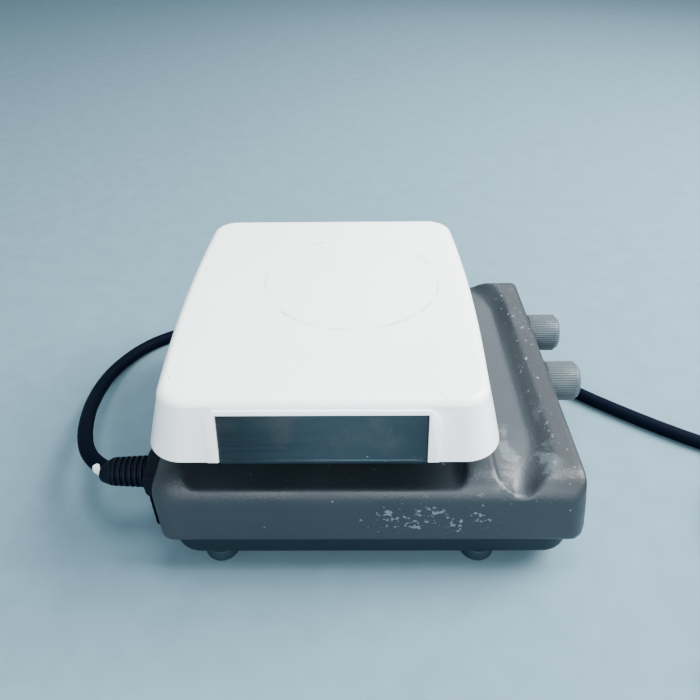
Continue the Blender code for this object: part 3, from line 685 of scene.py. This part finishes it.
def joined(name, meshes):
    """One mesh out of several."""
    bm = bmesh.new()
    for mesh in meshes:
        bm.from_mesh(mesh)
    made = bpy.data.meshes.new(name)
    bm.to_mesh(made)
    bm.free()
    return made


# ---------------------------------------------------------------- ceramic top

def plate_ring(inset, z, steps=14):
    """Outline of the top, bowed at front and rear, this far inside its rim."""
    half_x, half_y = PLATE_HALF_X - inset, PLATE_HALF_Y - inset
    corner = max(PLATE_CORNER - 0.6 * inset, 0.004)
    flat = rounded(half_x, half_y, corner, steps)
    span, n = half_x - corner, steps + 1
    rear = [(span * (1 - k / 14), half_y) for k in range(1, 28)]
    front = [(-x, -y) for x, y in rear]
    ring = flat[:n] + rear + flat[n:3 * n] + front + flat[3 * n:]
    return [(x, PLATE_Y + y + (1 if y > 0 else -1) * PLATE_BOW * (1 - (x / half_x) ** 2), z) for x, y in ring]


def skirt_prism(name, flat, low, high):
    """Prism standing on the leaning side of the skirt, between two depths."""
    rings = []
    for depth in (low, high):
        rings.append([(PLATE_HALF_X - PLATE_FLARE * (z - PLATE_RIM) + depth, PLATE_Y + y, z)
                      for y, z in flat])
    return loft(name, rings, 20)


def mirrored(mesh, name):
    """Copy for the other side."""
    made = mesh.copy()
    made.name = name
    made.transform(Matrix.Scale(-1, 4, (1, 0, 0)))
    made.flip_normals()
    return made


def plate_mesh():
    """Top with its skirt, raised pads and the notches for the panels."""
    straight = PLATE_TOP - PLATE_EDGE
    under = PLATE_TOP - PLATE_THICK
    foot_of_edge = PLATE_FLARE * (straight - PLATE_RIM)
    rings = [plate_ring(foot_of_edge + PLATE_WALL + 0.002, under),
             plate_ring(foot_of_edge + PLATE_WALL, under - 0.002),
             plate_ring(PLATE_WALL, PLATE_RIM + 0.0008)]
    for k in range(7):
        a = pi * k / 6
        rings.append(plate_ring(PLATE_WALL / 2 * (1 + cos(a)), PLATE_RIM + 0.0010 * (1 - sin(a))))
    for k in range(11):
        a = pi / 2 * k / 10
        rings.append(plate_ring(foot_of_edge + PLATE_EDGE * (1 - cos(a)), straight + PLATE_EDGE * sin(a)))
    rings += [plate_ring(foot_of_edge + PLATE_EDGE + further, PLATE_TOP) for further in (0.0075, 0.025)]
    top = PLATE_RIM + PAD_HIGH
    pad = [(-PAD_HALF, PLATE_RIM + 0.0012), (PAD_HALF, PLATE_RIM + 0.0012), (PAD_HALF, top - PAD_CHAMFER),
           (PAD_HALF - PAD_CHAMFER, top), (PAD_CHAMFER - PAD_HALF, top), (-PAD_HALF, top - PAD_CHAMFER)]
    pad_mesh = skirt_prism("pad", pad, -0.002, PAD_PROUD)
    half, high = PANEL_HALF + GAP, PLATE_RIM + PANEL_HIGH + PANEL_RISE + GAP
    notch = [(-half, PLATE_RIM - 0.004), (half, PLATE_RIM - 0.004), (half, high), (-half, high)]
    notch_mesh = skirt_prism("notch", notch, -0.009, 0.004)
    mesh = loft("plate_glazed", rings, 40)
    made = baked(mesh, [cut(pad_mesh, "UNION"), cut(mirrored(pad_mesh, "pad_left"), "UNION"), cut(notch_mesh),
                        cut(mirrored(notch_mesh, "notch_left")), bevel(0.0005, 3, 24)])
    return smoothed(made, 40)


def panel_mesh():
    """Steel panel with a folded hem along its lower edge."""
    low, high = PLATE_RIM, PLATE_RIM + PANEL_HIGH + PANEL_RISE
    flat = [(-PANEL_HALF, low), (PANEL_HALF, low), (PANEL_HALF, high), (-PANEL_HALF, high)]
    sheet = skirt_prism("panel", flat, -0.0015, -0.0003)
    hem_top = low + 0.0016
    hem_flat = [(-PANEL_HALF, low), (PANEL_HALF, low), (PANEL_HALF, hem_top), (-PANEL_HALF, hem_top)]
    hem = skirt_prism("hem", hem_flat, -0.0010, 0.0002)
    made = baked(sheet, [cut(hem, "UNION"), bevel(0.0004, 3, 30)])
    return smoothed(made, 45)


# ---------------------------------------------------------------- cast body

def body_profile():
    """Side outline of the casting, as (y, z)."""
    points = [(BODY_REAR, BODY_BOTTOM), (BODY_REAR, 0.036)]
    points += [(BODY_REAR - REAR_ROUND + y, BODY_TOP - REAR_ROUND + z)
               for y, z in arc(0, 0, REAR_ROUND, 0, 90, 8)]
    points += [(0.100 - 0.150 * k / 12, BODY_TOP) for k in range(1, 13)]
    points += [(CREST + CREST_ROUND + y, BODY_TOP - CREST_ROUND + z)
               for y, z in arc(0, 0, CREST_ROUND, 90, 180, 8)]
    return points + [(LEAN_Y, LEAN_Z), (BODY_FRONT, LEAN_FOOT), (BODY_FRONT, BODY_BOTTOM)]


def groove_cutter():
    """Spill groove between the plate and the crest; its lowest line swings to the plate at both ends."""
    rings, above, proud = [], 0.070, 0.0002
    half = [(0.0, 0.0), (0.056, 0.0), (0.061, 0.10), (0.066, 0.25), (0.0705, 0.43), (0.075, 0.62),
            (0.0795, 0.79), (0.084, 0.92), (0.100, 1.0)]
    for x, swing in [(-x, s) for x, s in reversed(half)] + half[1:]:
        line = GROOVE_LINE + GROOVE_SWING * swing
        tip = swing ** 3
        rim = GROOVE_RIM + GROOVE_SWING * (0.3 * swing + 0.35 * tip)
        deep = GROOVE_LOW - 0.0032 * tip
        points = [(GROOVE_REAR, above), (GROOVE_REAR, GROOVE_EDGE + 0.0012),
                  (GROOVE_REAR - 0.0012, GROOVE_EDGE), (line + 0.0030, deep + 0.0004)]
        for k in range(17):
            s = k / 16
            points.append((line + (rim - line) * s,
                           deep + (BODY_TOP + proud - deep) * (1 - cos(pi * s)) / 2))
        rings.append([(x, y, z) for y, z in points + [(rim, above)]])
    return loft("groove", rings)


def body_mesh():
    """Casting, hollowed and cut, with its edges rounded."""
    profile, rings = body_profile(), []
    centre_y, half = (BODY_REAR + BODY_FRONT) / 2, (BODY_REAR - BODY_FRONT) / 2
    stations = [(BODY_HALF_X - SHOULDER) * k / 12 for k in range(12)]
    stations = [(x, 1.0, 1.0) for x in stations]
    for k in range(25):
        a = pi / 2 * k / 24
        x = BODY_HALF_X - SHOULDER + SHOULDER * sin(a)
        top = SIDE_TOP + (BODY_TOP - SIDE_TOP) * cos(a)
        past = max(x - (BODY_HALF_X - BODY_CORNER), 0)
        inset = BODY_CORNER - sqrt(max(BODY_CORNER ** 2 - past ** 2, 0))
        stations.append((x, (top - BODY_BOTTOM) / (BODY_TOP - BODY_BOTTOM), (half - inset) / half))
    for x, tall, deep in [(-x, t, d) for x, t, d in reversed(stations)] + stations[1:]:
        rings.append([(x, centre_y + (y - centre_y) * deep, BODY_BOTTOM + (z - BODY_BOTTOM) * tall)
                      for y, z in profile])
    solid = loft("body_cast", rings)
    steps = [cut(groove_cutter()),
             cut(block("hollow_low", (-0.0855, -0.0835, 0.010), (0.0855, 0.1076, 0.036), 0.009)),
             cut(block("hollow_high", (-0.060, -0.030, 0.030), (0.060, 0.100, 0.0575), 0.006)),
             cut(block("hollow_front", (-0.072, -0.0835, 0.030), (0.072, -0.035, 0.0475), 0.002))]
    cy, half_y = (RECESS_FRONT + RECESS_REAR) / 2, (RECESS_REAR - RECESS_FRONT) / 2
    flat = rounded(half_y, 0.030, RECESS_ROUND, 8)
    for side in (-1, 1):
        rings = [[(side * x, cy + y, LEDGE + 0.030 + z) for y, z in flat] for x in (RECESS_DEEP, 0.110)]
        steps.append(cut(loft(f"recess{side}", rings)))
    steps.append(cut(turned("shaft_hole", [(0, 0.045), (0.007, 0.045), (0.007, 0.075), (0, 0.075)],
                            Matrix.Translation((0, PLATE_Y, 0)))))
    for name in ("heat", "stir"):
        for node, radius in ((f"{name}_stem", 0.004), (f"indicator_{name}", 0.0029)):
            x, _, z = middle(node)
            place = Matrix.Translation((x, -0.072, z)) @ TOWARDS_FRONT
            steps.append(cut(turned(f"{node}_hole", [(0, 0), (radius, 0), (radius, 0.03), (0, 0.03)], place)))
    x, _, z = middle("mains_inlet")
    steps.append(cut(block("inlet_hole", (x - 0.0158, 0.095, z - 0.0108), (x + 0.0158, 0.125, z + 0.0108))))
    steps.append(("REMESH", {"mode": "VOXEL", "voxel_size": settings().body_voxel}))
    steps.append(("SMOOTH", {"factor": 0.5, "iterations": 2}))
    made = baked(solid, steps)
    made.shade_smooth()
    return made


# ---------------------------------------------------------------- base

def pan_mesh():
    """Pressed pan with vents under the motor."""
    half_x = PAN_HIGH[0]
    centre_y, half_y = (PAN_LOW[1] + PAN_HIGH[1]) / 2, (PAN_HIGH[1] - PAN_LOW[1]) / 2
    bottom, top, wall, sweep, corner = PAN_LOW[2], PAN_HIGH[2], 0.002, 0.006, 0.014

    def ring(inset, z):
        flat = rounded(half_x - inset, half_y - inset, max(corner - inset, 0.004), 12)
        return [(x, centre_y + y, z) for x, y in flat]

    rings = [ring(wall + 0.006, bottom + wall), ring(wall, bottom + sweep), ring(wall, top),
             ring(0.0006, top), ring(0, top - 0.0006)]
    for k in range(11):
        a = pi / 2 * k / 10
        rings.append(ring(sweep * (1 - cos(a)), bottom + sweep * (1 - sin(a))))
    steps = []
    for k in range(6):
        x = -0.050 + 0.020 * k
        steps.append(cut(block(f"vent{k}", (x - 0.002, PLATE_Y - 0.020, bottom - 0.004),
                               (x + 0.002, PLATE_Y + 0.020, bottom + 0.006), 0.0019)))
    made = baked(loft("pan", rings, 30), steps + [bevel(0.0003, 2, 50)])
    return smoothed(made, 40)


def foot_mesh(name, x, y, top, radius):
    bore = 0.0024
    outline = [(bore, 0.004), (0.005, 0.004)] + [(0.005, 0.0)]
    outline += [(radius - 0.0016 + a, 0.0016 + b) for a, b in arc(0, 0, 0.0016, -90, -10, 6)]
    outline.append((radius, top - 0.0035))
    outline += [(radius - 0.0008 + a, top - 0.0008 + b) for a, b in arc(0, 0, 0.0008, 0, 90, 4)]
    outline.append((bore, top))
    return turned(name, outline, Matrix.Translation((x, y, 0)), 48)


# ---------------------------------------------------------------- controls

def knob_mesh(name, low, high):
    """Ribbed knob: turned core with a domed, chamfered end and bars round its side."""
    radius, long = (high[0] - low[0]) / 2, high[1] - low[1]
    rib = settings().knob_rib_size
    core = radius - rib * 1.15
    outline = [(0, long - 0.0006), (0.0030, long - 0.0005), (0.0060, long - 0.0002), (radius * 0.80, long)]
    outline += [(radius * 0.86, long - 0.0004), (core * 0.955, long - 0.0018), (core, long - 0.0030)]
    outline.append((core, 0.0006))
    outline += [(core - 0.0005, 0.0), (0.0078, 0.0)]
    outline += [(0.0078, 0.004), (0.0033, 0.004), (0.0033, KNOB_BORE), (0, KNOB_BORE)]
    place = Matrix.Translation(((low[0] + high[0]) / 2, high[1], (low[2] + high[2]) / 2)) @ TOWARDS_FRONT
    bar_low, bar_high = 0.0004, long - 0.0024
    ribs = bars(name + "_ribs", look("knob"), place, count=settings().knob_ribs, radius=core,
                size=(rib, rib, bar_high - bar_low), corner=8, base=(bar_low + bar_high) / 2)
    pointer = block("pointer", (-0.0005, 0.0030, long - 0.0004), (0.0005, 0.0090, long - 0.00005), 0.0004, 3)
    pointer.transform(place)
    barrel = turned(name, outline, place, 96, 28)
    made = joined(name, [barrel, ribs])
    return smoothed(made, 40), pointer


def front_y(z):
    """Y of the leaning front face at a height."""
    return LEAN_Y + (BODY_FRONT - LEAN_Y) * (LEAN_Z - z) / (LEAN_Z - LEAN_FOOT)


def on_front(mesh, proud):
    """Lays a flat mesh, drawn in X and Z with Y as its height, on the leaning front face."""
    for vertex in mesh.vertices:
        x, y, z = vertex.co
        vertex.co = (x, front_y(z) - proud - y, z)
    mesh.update()
    return mesh


# ---------------------------------------------------------------- lead

def catmull(route, steps):
    """Smooth route through the points."""
    route = [Vector(p) for p in route]
    ends = [2 * route[0] - route[1]] + route + [2 * route[-1] - route[-2]]
    fine = []
    for k in range(len(route) - 1):
        p0, p1, p2, p3 = ends[k:k + 4]
        for i in range(steps):
            t = i / steps
            fine.append(0.5 * (2 * p1 + (p2 - p0) * t + (2 * p0 - 5 * p1 + 4 * p2 - p3) * t ** 2
                               + (3 * p1 - p0 - 3 * p2 + p3) * t ** 3))
    return fine + [route[-1]]


def eased(u, stops):
    """Value at u along (position, value) stops, smooth between them."""
    for (u0, v0), (u1, v1) in zip(stops, stops[1:]):
        if u <= u1:
            s = max((u - u0) / (u1 - u0), 0)
            return v0 + (v1 - v0) * s * s * (3 - 2 * s)
    return stops[-1][1]


def coil_points(turns):
    """Turns two beside and two on each other, entered from the lead and left towards the plug."""
    outer, inner, low, high = 0.0514, 0.0427, 0.0046, 0.0133
    radii = [(0, outer), (0.70, outer), (1.02, inner), (2.30, inner), (2.62, outer), (turns, outer)]
    heights = [(0, low), (1.60, low), (1.86, high), (turns, high)]
    first, points, steps = radians(-14), [], round(turns * 24)
    for k in range(steps + 1):
        u = turns * k / steps
        a, r = first - 2 * pi * u, eased(u, radii)
        points.append((COIL_X + r * cos(a), COIL_Y + r * sin(a), eased(u, heights)))
    return points


def mark_mesh():
    """White mark along the outside of the first bend, a thin shell on the sheath."""
    route = catmull(LEAD[:3], 16)[:14]
    up = Vector((0, 0, 1))
    points, faces, steps = [], [], 10
    for layer in (0.0001, 0.0005):
        for k, spot in enumerate(route[2:-1]):
            way = (route[k + 3] - spot).normalized()
            across = way.cross(up).normalized()
            share = sin(pi * (k + 0.5) / (len(route) - 3))
            for i in range(steps + 1):
                a = radians(160) + radians(46) * share ** 0.6 * (2 * i / steps - 1)
                points.append(spot + (across * cos(a) + across.cross(way) * sin(a)) * (CORD_R + layer))
    row = steps + 1
    rows = len(points) // row // 2
    for layer in (0, 1):
        base = layer * rows * row
        for k in range(rows - 1):
            for i in range(steps):
                spot = base + k * row + i
                faces.append([spot, spot + 1, spot + row + 1, spot + row])
    last = rows * row
    for k in range(rows - 1):
        for i in (0, steps):
            faces.append([k * row + i, (k + 1) * row + i, last + (k + 1) * row + i, last + k * row + i])
    for i in range(steps):
        for k in (0, rows - 1):
            faces.append([k * row + i, k * row + i + 1, last + k * row + i + 1, last + k * row + i])
    return closed_mesh("mark", points, faces, 50)


def tie_mesh():
    """Strap round the turns of the coil."""
    angle, thick, half_wide = radians(100), 0.0005, 0.005
    way = Vector((cos(angle), sin(angle), 0))
    along = Vector((-sin(angle), cos(angle), 0))
    centre = Vector((COIL_X, COIL_Y, 0)) + 0.04705 * way
    outer = rounded(0.0090, 0.0088, 0.0042, 8)
    inner = rounded(0.0090 - thick, 0.0088 - thick, 0.0042 - thick, 8)
    points, faces, size = [], [], len(outer)
    for wide in (-half_wide, half_wide):
        for flat in (outer, inner):
            points += [centre + way * x + along * wide + Vector((0, 0, 0.0089 + z)) for x, z in flat]
    for k in range(size):
        n = (k + 1) % size
        for a, b in ((0, 1), (1, 3), (3, 2), (2, 0)):
            faces.append([a * size + k, a * size + n, b * size + n, b * size + k])
    return closed_mesh("tie", points, faces)


def across_lead(x, y, z, half_x, half_z, corner):
    """Rounded outline across the lead's own direction, for a moulding."""
    return [(x + px, y, z + pz) for px, pz in rounded(half_x, half_z, corner, 8)]


def connector_mesh():
    """Moulded connector: block, waist and ringed grip."""
    low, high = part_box("cord_connector")
    cx, cz = (low[0] + high[0]) / 2, (low[2] + high[2]) / 2
    start, end = low[1], high[1]
    face = 0.1130
    shapes = [(start, 0.0116, 0.0076, 0.0025), (start + 0.0006, 0.0120, 0.0080, 0.003),
              (face - 0.0012, 0.0120, 0.0080, 0.003), (face, 0.0110, 0.0077, 0.003),
              (0.1202, 0.0110, 0.0077, 0.0035), (0.1212, 0.0104, 0.0072, 0.0045),
              (0.1216, 0.0082, 0.0068, 0.0060)]
    rings = []
    for y, hx, hz, corner in shapes:
        rings.append(across_lead(cx, y, cz, hx, hz, corner))
    ridges, grip = 6, 0.1220
    pitch = (end - 0.0004 - grip) / ridges
    for k in range(ridges):
        y = grip + pitch * k
        r = 0.0078 - 0.0007 * k / (ridges - 1)
        for share, size in ((0.0, 0.84), (0.10, 0.86), (0.26, 1.0), (0.78, 0.99), (0.92, 0.86)):
            rings.append(across_lead(cx, y + pitch * share, cz, r * size, r * size, r * size * 0.97))
    first, way = Vector(LEAD[0]), (Vector(LEAD[1]) - Vector(LEAD[0])).normalized()
    across = way.cross(Vector((0, 0, 1))).normalized()
    upward = across.cross(way)
    rings.append(across_lead(cx, end, cz, 0.0069, 0.0069, 0.0067))
    for ahead, size in ((-0.0012, 0.0062), (-0.0002, 0.0054), (0.0004, 0.0041)):
        rings.append([first + way * ahead + across * px + upward * pz for px, pz in
                      rounded(size, size, size * 0.97, 8)])
    return baked(loft("connector", rings, 50), [bevel(0.00025, 2, 40)])


def plug_mesh():
    """Moulded plug with a ringed grip."""
    low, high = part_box("wall_plug")
    cx, cz = (low[0] + high[0]) / 2, (low[2] + high[2]) / 2
    start, end = low[1], high[1]
    rings = []
    for k in range(5):
        y = start + 0.0026 * k
        r = 0.0052 + 0.00035 * k
        for share, size in ((0.0, 0.84), (0.2, 1.0), (0.75, 1.0), (0.95, 0.84)):
            rings.append(across_lead(cx, y + 0.0026 * share, cz, r * size, r * size, r * size * 0.96))
    for y, hx, hz, corner in (
            (start + 0.0140, 0.0072, 0.0072, 0.0066), (start + 0.0180, 0.0098, 0.0088, 0.0060),
            (start + 0.0220, 0.0110, 0.0098, 0.0050), (end - 0.0120, 0.0112, 0.0102, 0.0045),
            (end - 0.0085, 0.0118, 0.0112, 0.0042), (end - 0.0008, 0.0119, 0.0114, 0.0040),
            (end, 0.0112, 0.0107, 0.0036)):
        rings.append(across_lead(cx, y, cz, hx, hz, corner))
    return baked(loft("plug", rings, 50), [bevel(0.0003, 2, 40)])


# ---------------------------------------------------------------- operators

class StirrerOperator(bpy.types.Operator):
    """Shared builder options; no builder uses it"""
    bl_options = {"REGISTER", "UNDO"}


class STIRRER_OT_stage(bpy.types.Operator):
    """Floor, soft lights and the camera"""
    bl_idname = "stirrer.stage"
    bl_label = "Stage"

    def execute(self, context):
        color = settings().floor_color
        made, g, shader, place = finish("pale_sweep", color, 0.85, spec=0.2)
        tone = g.noise(place, 55.0, 5.0, 0.6)
        g.put(shader.inputs["Base Color"], g.mix(g.ramp(tone, 0.3, 0.7), toned(color, 0.96),
                                                 toned(color, 1.04)))
        reach, cells = 4.0, 16
        grid = [(-reach + 2 * reach * i / cells, -reach + 2 * reach * j / cells, 0)
                for i in range(cells + 1) for j in range(cells + 1)]
        row = cells + 1
        mesh = bpy.data.meshes.new("floor")
        mesh.from_pydata(grid, [], [(i * row + j, (i + 1) * row + j, (i + 1) * row + j + 1, i * row + j + 1)
                                    for i in range(cells) for j in range(cells)])
        mesh.materials.append(made)
        floor = bpy.data.objects.new("floor", mesh)
        context.scene.collection.objects.link(floor)
        for name, place, size, power, tint in (
                ("beside", (0.10, -0.85, 0.95), 0.8, 19.0, (1.0, 0.99, 0.97)),
                ("overhead", (-0.02, -0.05, 1.25), 0.35, 3.2, (1.0, 0.99, 0.98)),
                ("behind", (1.2, -0.35, 0.85), 0.8, 2.5, (0.95, 0.98, 1.0)),
                ("front", (-1.20, -0.10, 0.62), 1.2, 9.0, (0.95, 0.98, 1.0))):
            lamp = bpy.data.lights.new(name, "AREA")
            lamp.size, lamp.energy, lamp.color = size, power, tint
            obj = bpy.data.objects.new(name, lamp)
            obj.location = place
            obj.rotation_euler = (LIT_SPOT - Vector(place)).to_track_quat("-Z", "Y").to_euler()
            context.scene.collection.objects.link(obj)
        world = bpy.data.worlds.new("soft_room")
        world.use_nodes = True
        world.node_tree.nodes["Background"].inputs[0].default_value = (0.80, 0.90, 1.0, 1)
        world.node_tree.nodes["Background"].inputs[1].default_value = 0.30
        context.scene.world = world
        context.scene.view_settings.view_transform = "AgX"
        context.scene.view_settings.look = "AgX - Medium High Contrast"
        context.scene.view_settings.exposure = 1.0
        eye = Vector((-0.28043, 0.01732, 0.28236))
        pitch, yaw, roll = radians(37.187), radians(-0.825), radians(-0.770)
        ahead = Vector((cos(yaw) * cos(pitch), -sin(yaw) * cos(pitch), -sin(pitch)))
        right = ahead.cross(Vector((0, 0, 1))).normalized()
        up = right.cross(ahead)
        right, up = cos(roll) * right + sin(roll) * up, -sin(roll) * right + cos(roll) * up
        data = bpy.data.cameras.new("camera")
        data.lens, data.sensor_width = 33.43, 36.0
        data.clip_start = 0.01
        camera = bpy.data.objects.new("camera", data)
        camera.matrix_world = Matrix.Translation(eye) @ Matrix((right, up, -ahead)).transposed().to_4x4()
        context.scene.collection.objects.link(camera)
        context.scene.camera = camera
        return {"FINISHED"}


class STIRRER_OT_lead(bpy.types.Operator):
    """Mains lead with its connector, white mark, coil and plug"""
    bl_idname = "stirrer.lead"
    bl_label = "Mains lead"

    def execute(self, context):
        points = catmull(LEAD + coil_points(settings().coil_turns) + TAIL, 3)
        curve = bpy.data.curves.new("mains_lead", "CURVE")
        curve.dimensions = "3D"
        curve.bevel_depth, curve.bevel_resolution, curve.use_fill_caps = CORD_R, 6, True
        line = curve.splines.new("POLY")
        line.points.add(len(points) - 1)
        for spot, p in zip(line.points, points):
            spot.co = (*p, 1)
        line.use_smooth = True
        curve.materials.append(look("cord"))
        lead = bpy.data.objects.new("mains_lead", curve)
        context.scene.collection.objects.link(lead)
        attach(lead, "base")
        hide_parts("cord_lead", "cord_coil", "cord_tail")
        for name, mesh, stands in (("connector", connector_mesh(), "cord_connector"),
                                   ("plug", plug_mesh(), "wall_plug")):
            smoothed(mesh, 35)
            piece(name + "_moulded", mesh, look("black"), stands_for=(stands,))
        piece("coil_tie", tie_mesh(), look("rubber"))
        piece("white_mark", mark_mesh(), look("white"), stands_for=("cord_marker",))
        paint_nodes(brass="plug_blade_left plug_blade_right plug_earth_pin")
        on_it = [bpy.data.objects[n] for n in ("connector_moulded", "plug_moulded", "coil_tie", "white_mark")]
        on_it += [frame["nodes"][n] for n in ("plug_blade_left", "plug_blade_right", "plug_earth_pin")]
        return {"FINISHED"}


class STIRRER_OT_body(bpy.types.Operator):
    """Cast body with its spill groove, ridge and side recesses"""
    bl_idname = "stirrer.body"
    bl_label = "Cast body"

    def execute(self, context):
        piece("cast_body", body_mesh(), look("paint"), stands_for=("body_shell",))
        return {"FINISHED"}


class STIRRER_OT_base(bpy.types.Operator):
    """Base pan, feet and their screws"""
    bl_idname = "stirrer.base"
    bl_label = "Base"

    def execute(self, context):
        piece("base_tray", pan_mesh(), look("pan"), stands_for=("base_pan",))
        for k in range(1, 5):
            low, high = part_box(f"foot_{k}")
            mesh = foot_mesh(f"rubber_foot_{k}", (low[0] + high[0]) / 2, (low[1] + high[1]) / 2, high[2],
                             (high[0] - low[0]) / 2)
            piece(f"rubber_foot_{k}", mesh, look("rubber"), stands_for=(f"foot_{k}",))
        paint_nodes(zinc="foot_screw_1 foot_screw_2 foot_screw_3 foot_screw_4")
        return {"FINISHED"}


class STIRRER_OT_top(bpy.types.Operator):
    """Ceramic top, steel panels and rear screws"""
    bl_idname = "stirrer.top"
    bl_label = "Ceramic top"

    def execute(self, context):
        piece("glazed_top", plate_mesh(), look("ceramic"), stands_for=("top_plate",))
        panel = panel_mesh()
        piece("steel_panel_right", panel, look("panel"), stands_for=("side_panel_right",))
        piece("steel_panel_left", mirrored(panel, "steel_panel_left"), look("panel"),
              stands_for=("side_panel_left",))
        for name in ("left", "right"):
            low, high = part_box(f"rear_screw_{name}")
            r, lean = (high[0] - low[0]) / 2, radians(14)
            centre = ((low[0] + high[0]) / 2, low[1] + r * sin(lean), low[2] + r * cos(lean))
            dome = [(0, 0), (r, 0), (r, 0.0006)] + [(r * cos(a), 0.0006 + 0.0015 * sin(a)) for a in
                                                    (pi / 2 * k / 8 for k in range(1, 8))] + [(0, 0.0021)]
            place = Matrix.Translation(centre) @ Matrix.Rotation(radians(14) - pi / 2, 4, "X")
            head = turned(f"screw_head_{name}", dome, place, 40)
            slots = []
            for turn in (0, pi / 2):
                bar = block("slot", (-0.0022, -0.0004, 0.0012), (0.0022, 0.0004, 0.0040))
                bar.transform(place @ Matrix.Rotation(turn + 0.5, 4, "Z"))
                slots.append(cut(bar))
            piece(f"screw_head_{name}", baked(head, slots), look("screw"),
                  stands_for=(f"rear_screw_{name}",))
        return {"FINISHED"}


class STIRRER_OT_controls(bpy.types.Operator):
    """Knobs, front legend and indicator lights"""
    bl_idname = "stirrer.controls"
    bl_label = "Controls"

    def execute(self, context):
        marks = []
        for name in ("heat", "stir"):
            low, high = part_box(f"{name}_knob")
            knob, pointer = knob_mesh(f"{name}_ribbed_knob", low, high)
            piece(f"{name}_ribbed_knob", knob, look("knob"), f"{name}_control",
                  (f"{name}_knob",))
            piece(f"{name}_pointer", pointer, look("print"), f"{name}_control")
            x, z = (low[0] + high[0]) / 2, (low[2] + high[2]) / 2
            upright = Matrix.Translation((x, 0, z)) @ Matrix.Rotation(pi / 2, 4, "X")
            ticks = bars(f"{name}_ticks", look("print"), upright, count=11, radius=DIAL_RADIUS,
                         start=radians(-60), sweep=radians(330), size=(0.0010, 0.00025, 0.0002), corner=4)
            marks.append(ticks)
        legend = block("legend", (-0.050, -0.052, 0.0), (0.082, -0.0292, 0.00025), 0.003)
        for vertex in legend.vertices:
            x, y, z = vertex.co
            vertex.co = (x, z, -y)
        legend.flip_normals()
        piece("dial_legend", legend_cut(legend), look("legend"))
        for mesh in marks:
            for vertex in mesh.vertices:
                vertex.co.y += front_y(vertex.co.z) - 0.00035
            piece(mesh.name, mesh, look("print"))
        for name in ("heat", "stir"):
            paint_nodes(lens=f"indicator_{name}")
        return {"FINISHED"}


def legend_cut(mesh):
    """Follows the front face and opens round the controls."""
    on_front(mesh, GAP / 2)
    steps = []
    for name, radius in (("heat_stem", 0.0078), ("stir_stem", 0.0078), ("indicator_heat", 0.0030),
                         ("indicator_stir", 0.0030)):
        x, _, z = middle(name)
        place = Matrix.Translation((x, -0.080, z)) @ TOWARDS_FRONT
        steps.append(cut(turned("opening", [(0, 0), (radius, 0), (radius, 0.02), (0, 0.02)], place, 40)))
    made = baked(mesh, steps)
    made.shade_flat()
    return made


class STIRRER_OT_inside(bpy.types.Operator):
    """Materials of the pieces held inside"""
    bl_idname = "stirrer.inside"
    bl_label = "Inside"

    def execute(self, context):
        paint_nodes(
            zinc="plate_post_1 plate_post_2 plate_post_3 plate_post_4 motor_shaft stir_motor heat_stem "
                 "stir_stem heat_potentiometer stir_potentiometer temperature_probe heater_element magnet_carrier "
                 "inlet_screw_left inlet_screw_right",
            sheet="heat_shield motor_bracket", aluminium="heat_sink", board="control_board",
            fibre="insulation_pad",
            brass="heat_nut stir_nut board_post_1 board_post_2 board_post_3 board_post_4",
            ferrite="drive_magnet_front drive_magnet_rear", black="mains_inlet heat_triac")
        return {"FINISHED"}


class STIRRER_PT_panel(bpy.types.Panel):
    """Sidebar list of the builders"""
    bl_idname = "STIRRER_PT_panel"
    bl_label = "Hotplate stirrer"
    bl_space_type = "VIEW_3D"
    bl_region_type = "UI"
    bl_category = "Stirrer"

    def draw(self, context):
        for maker in BUILDERS:
            self.layout.operator(maker.bl_idname)
        for key in StirrerSettings.__annotations__:
            self.layout.prop(context.scene.stirrer, key)


BUILDERS = (STIRRER_OT_stage, STIRRER_OT_lead, STIRRER_OT_body, STIRRER_OT_base, STIRRER_OT_top,
            STIRRER_OT_controls, STIRRER_OT_inside)
CLASSES = (StirrerSettings,) + BUILDERS + (STIRRER_PT_panel,)


def register():
    for made in CLASSES:
        bpy.utils.register_class(made)
    bpy.types.Scene.stirrer = PointerProperty(type=StirrerSettings)


def unregister():
    del bpy.types.Scene.stirrer
    for made in reversed(CLASSES):
        bpy.utils.unregister_class(made)


def main():
    """Builds everything in order."""
    register()
    for maker in BUILDERS:
        group_name, step = maker.bl_idname.split(".")
        getattr(getattr(bpy.ops, group_name), step)()


if __name__ == "__main__":
    main()
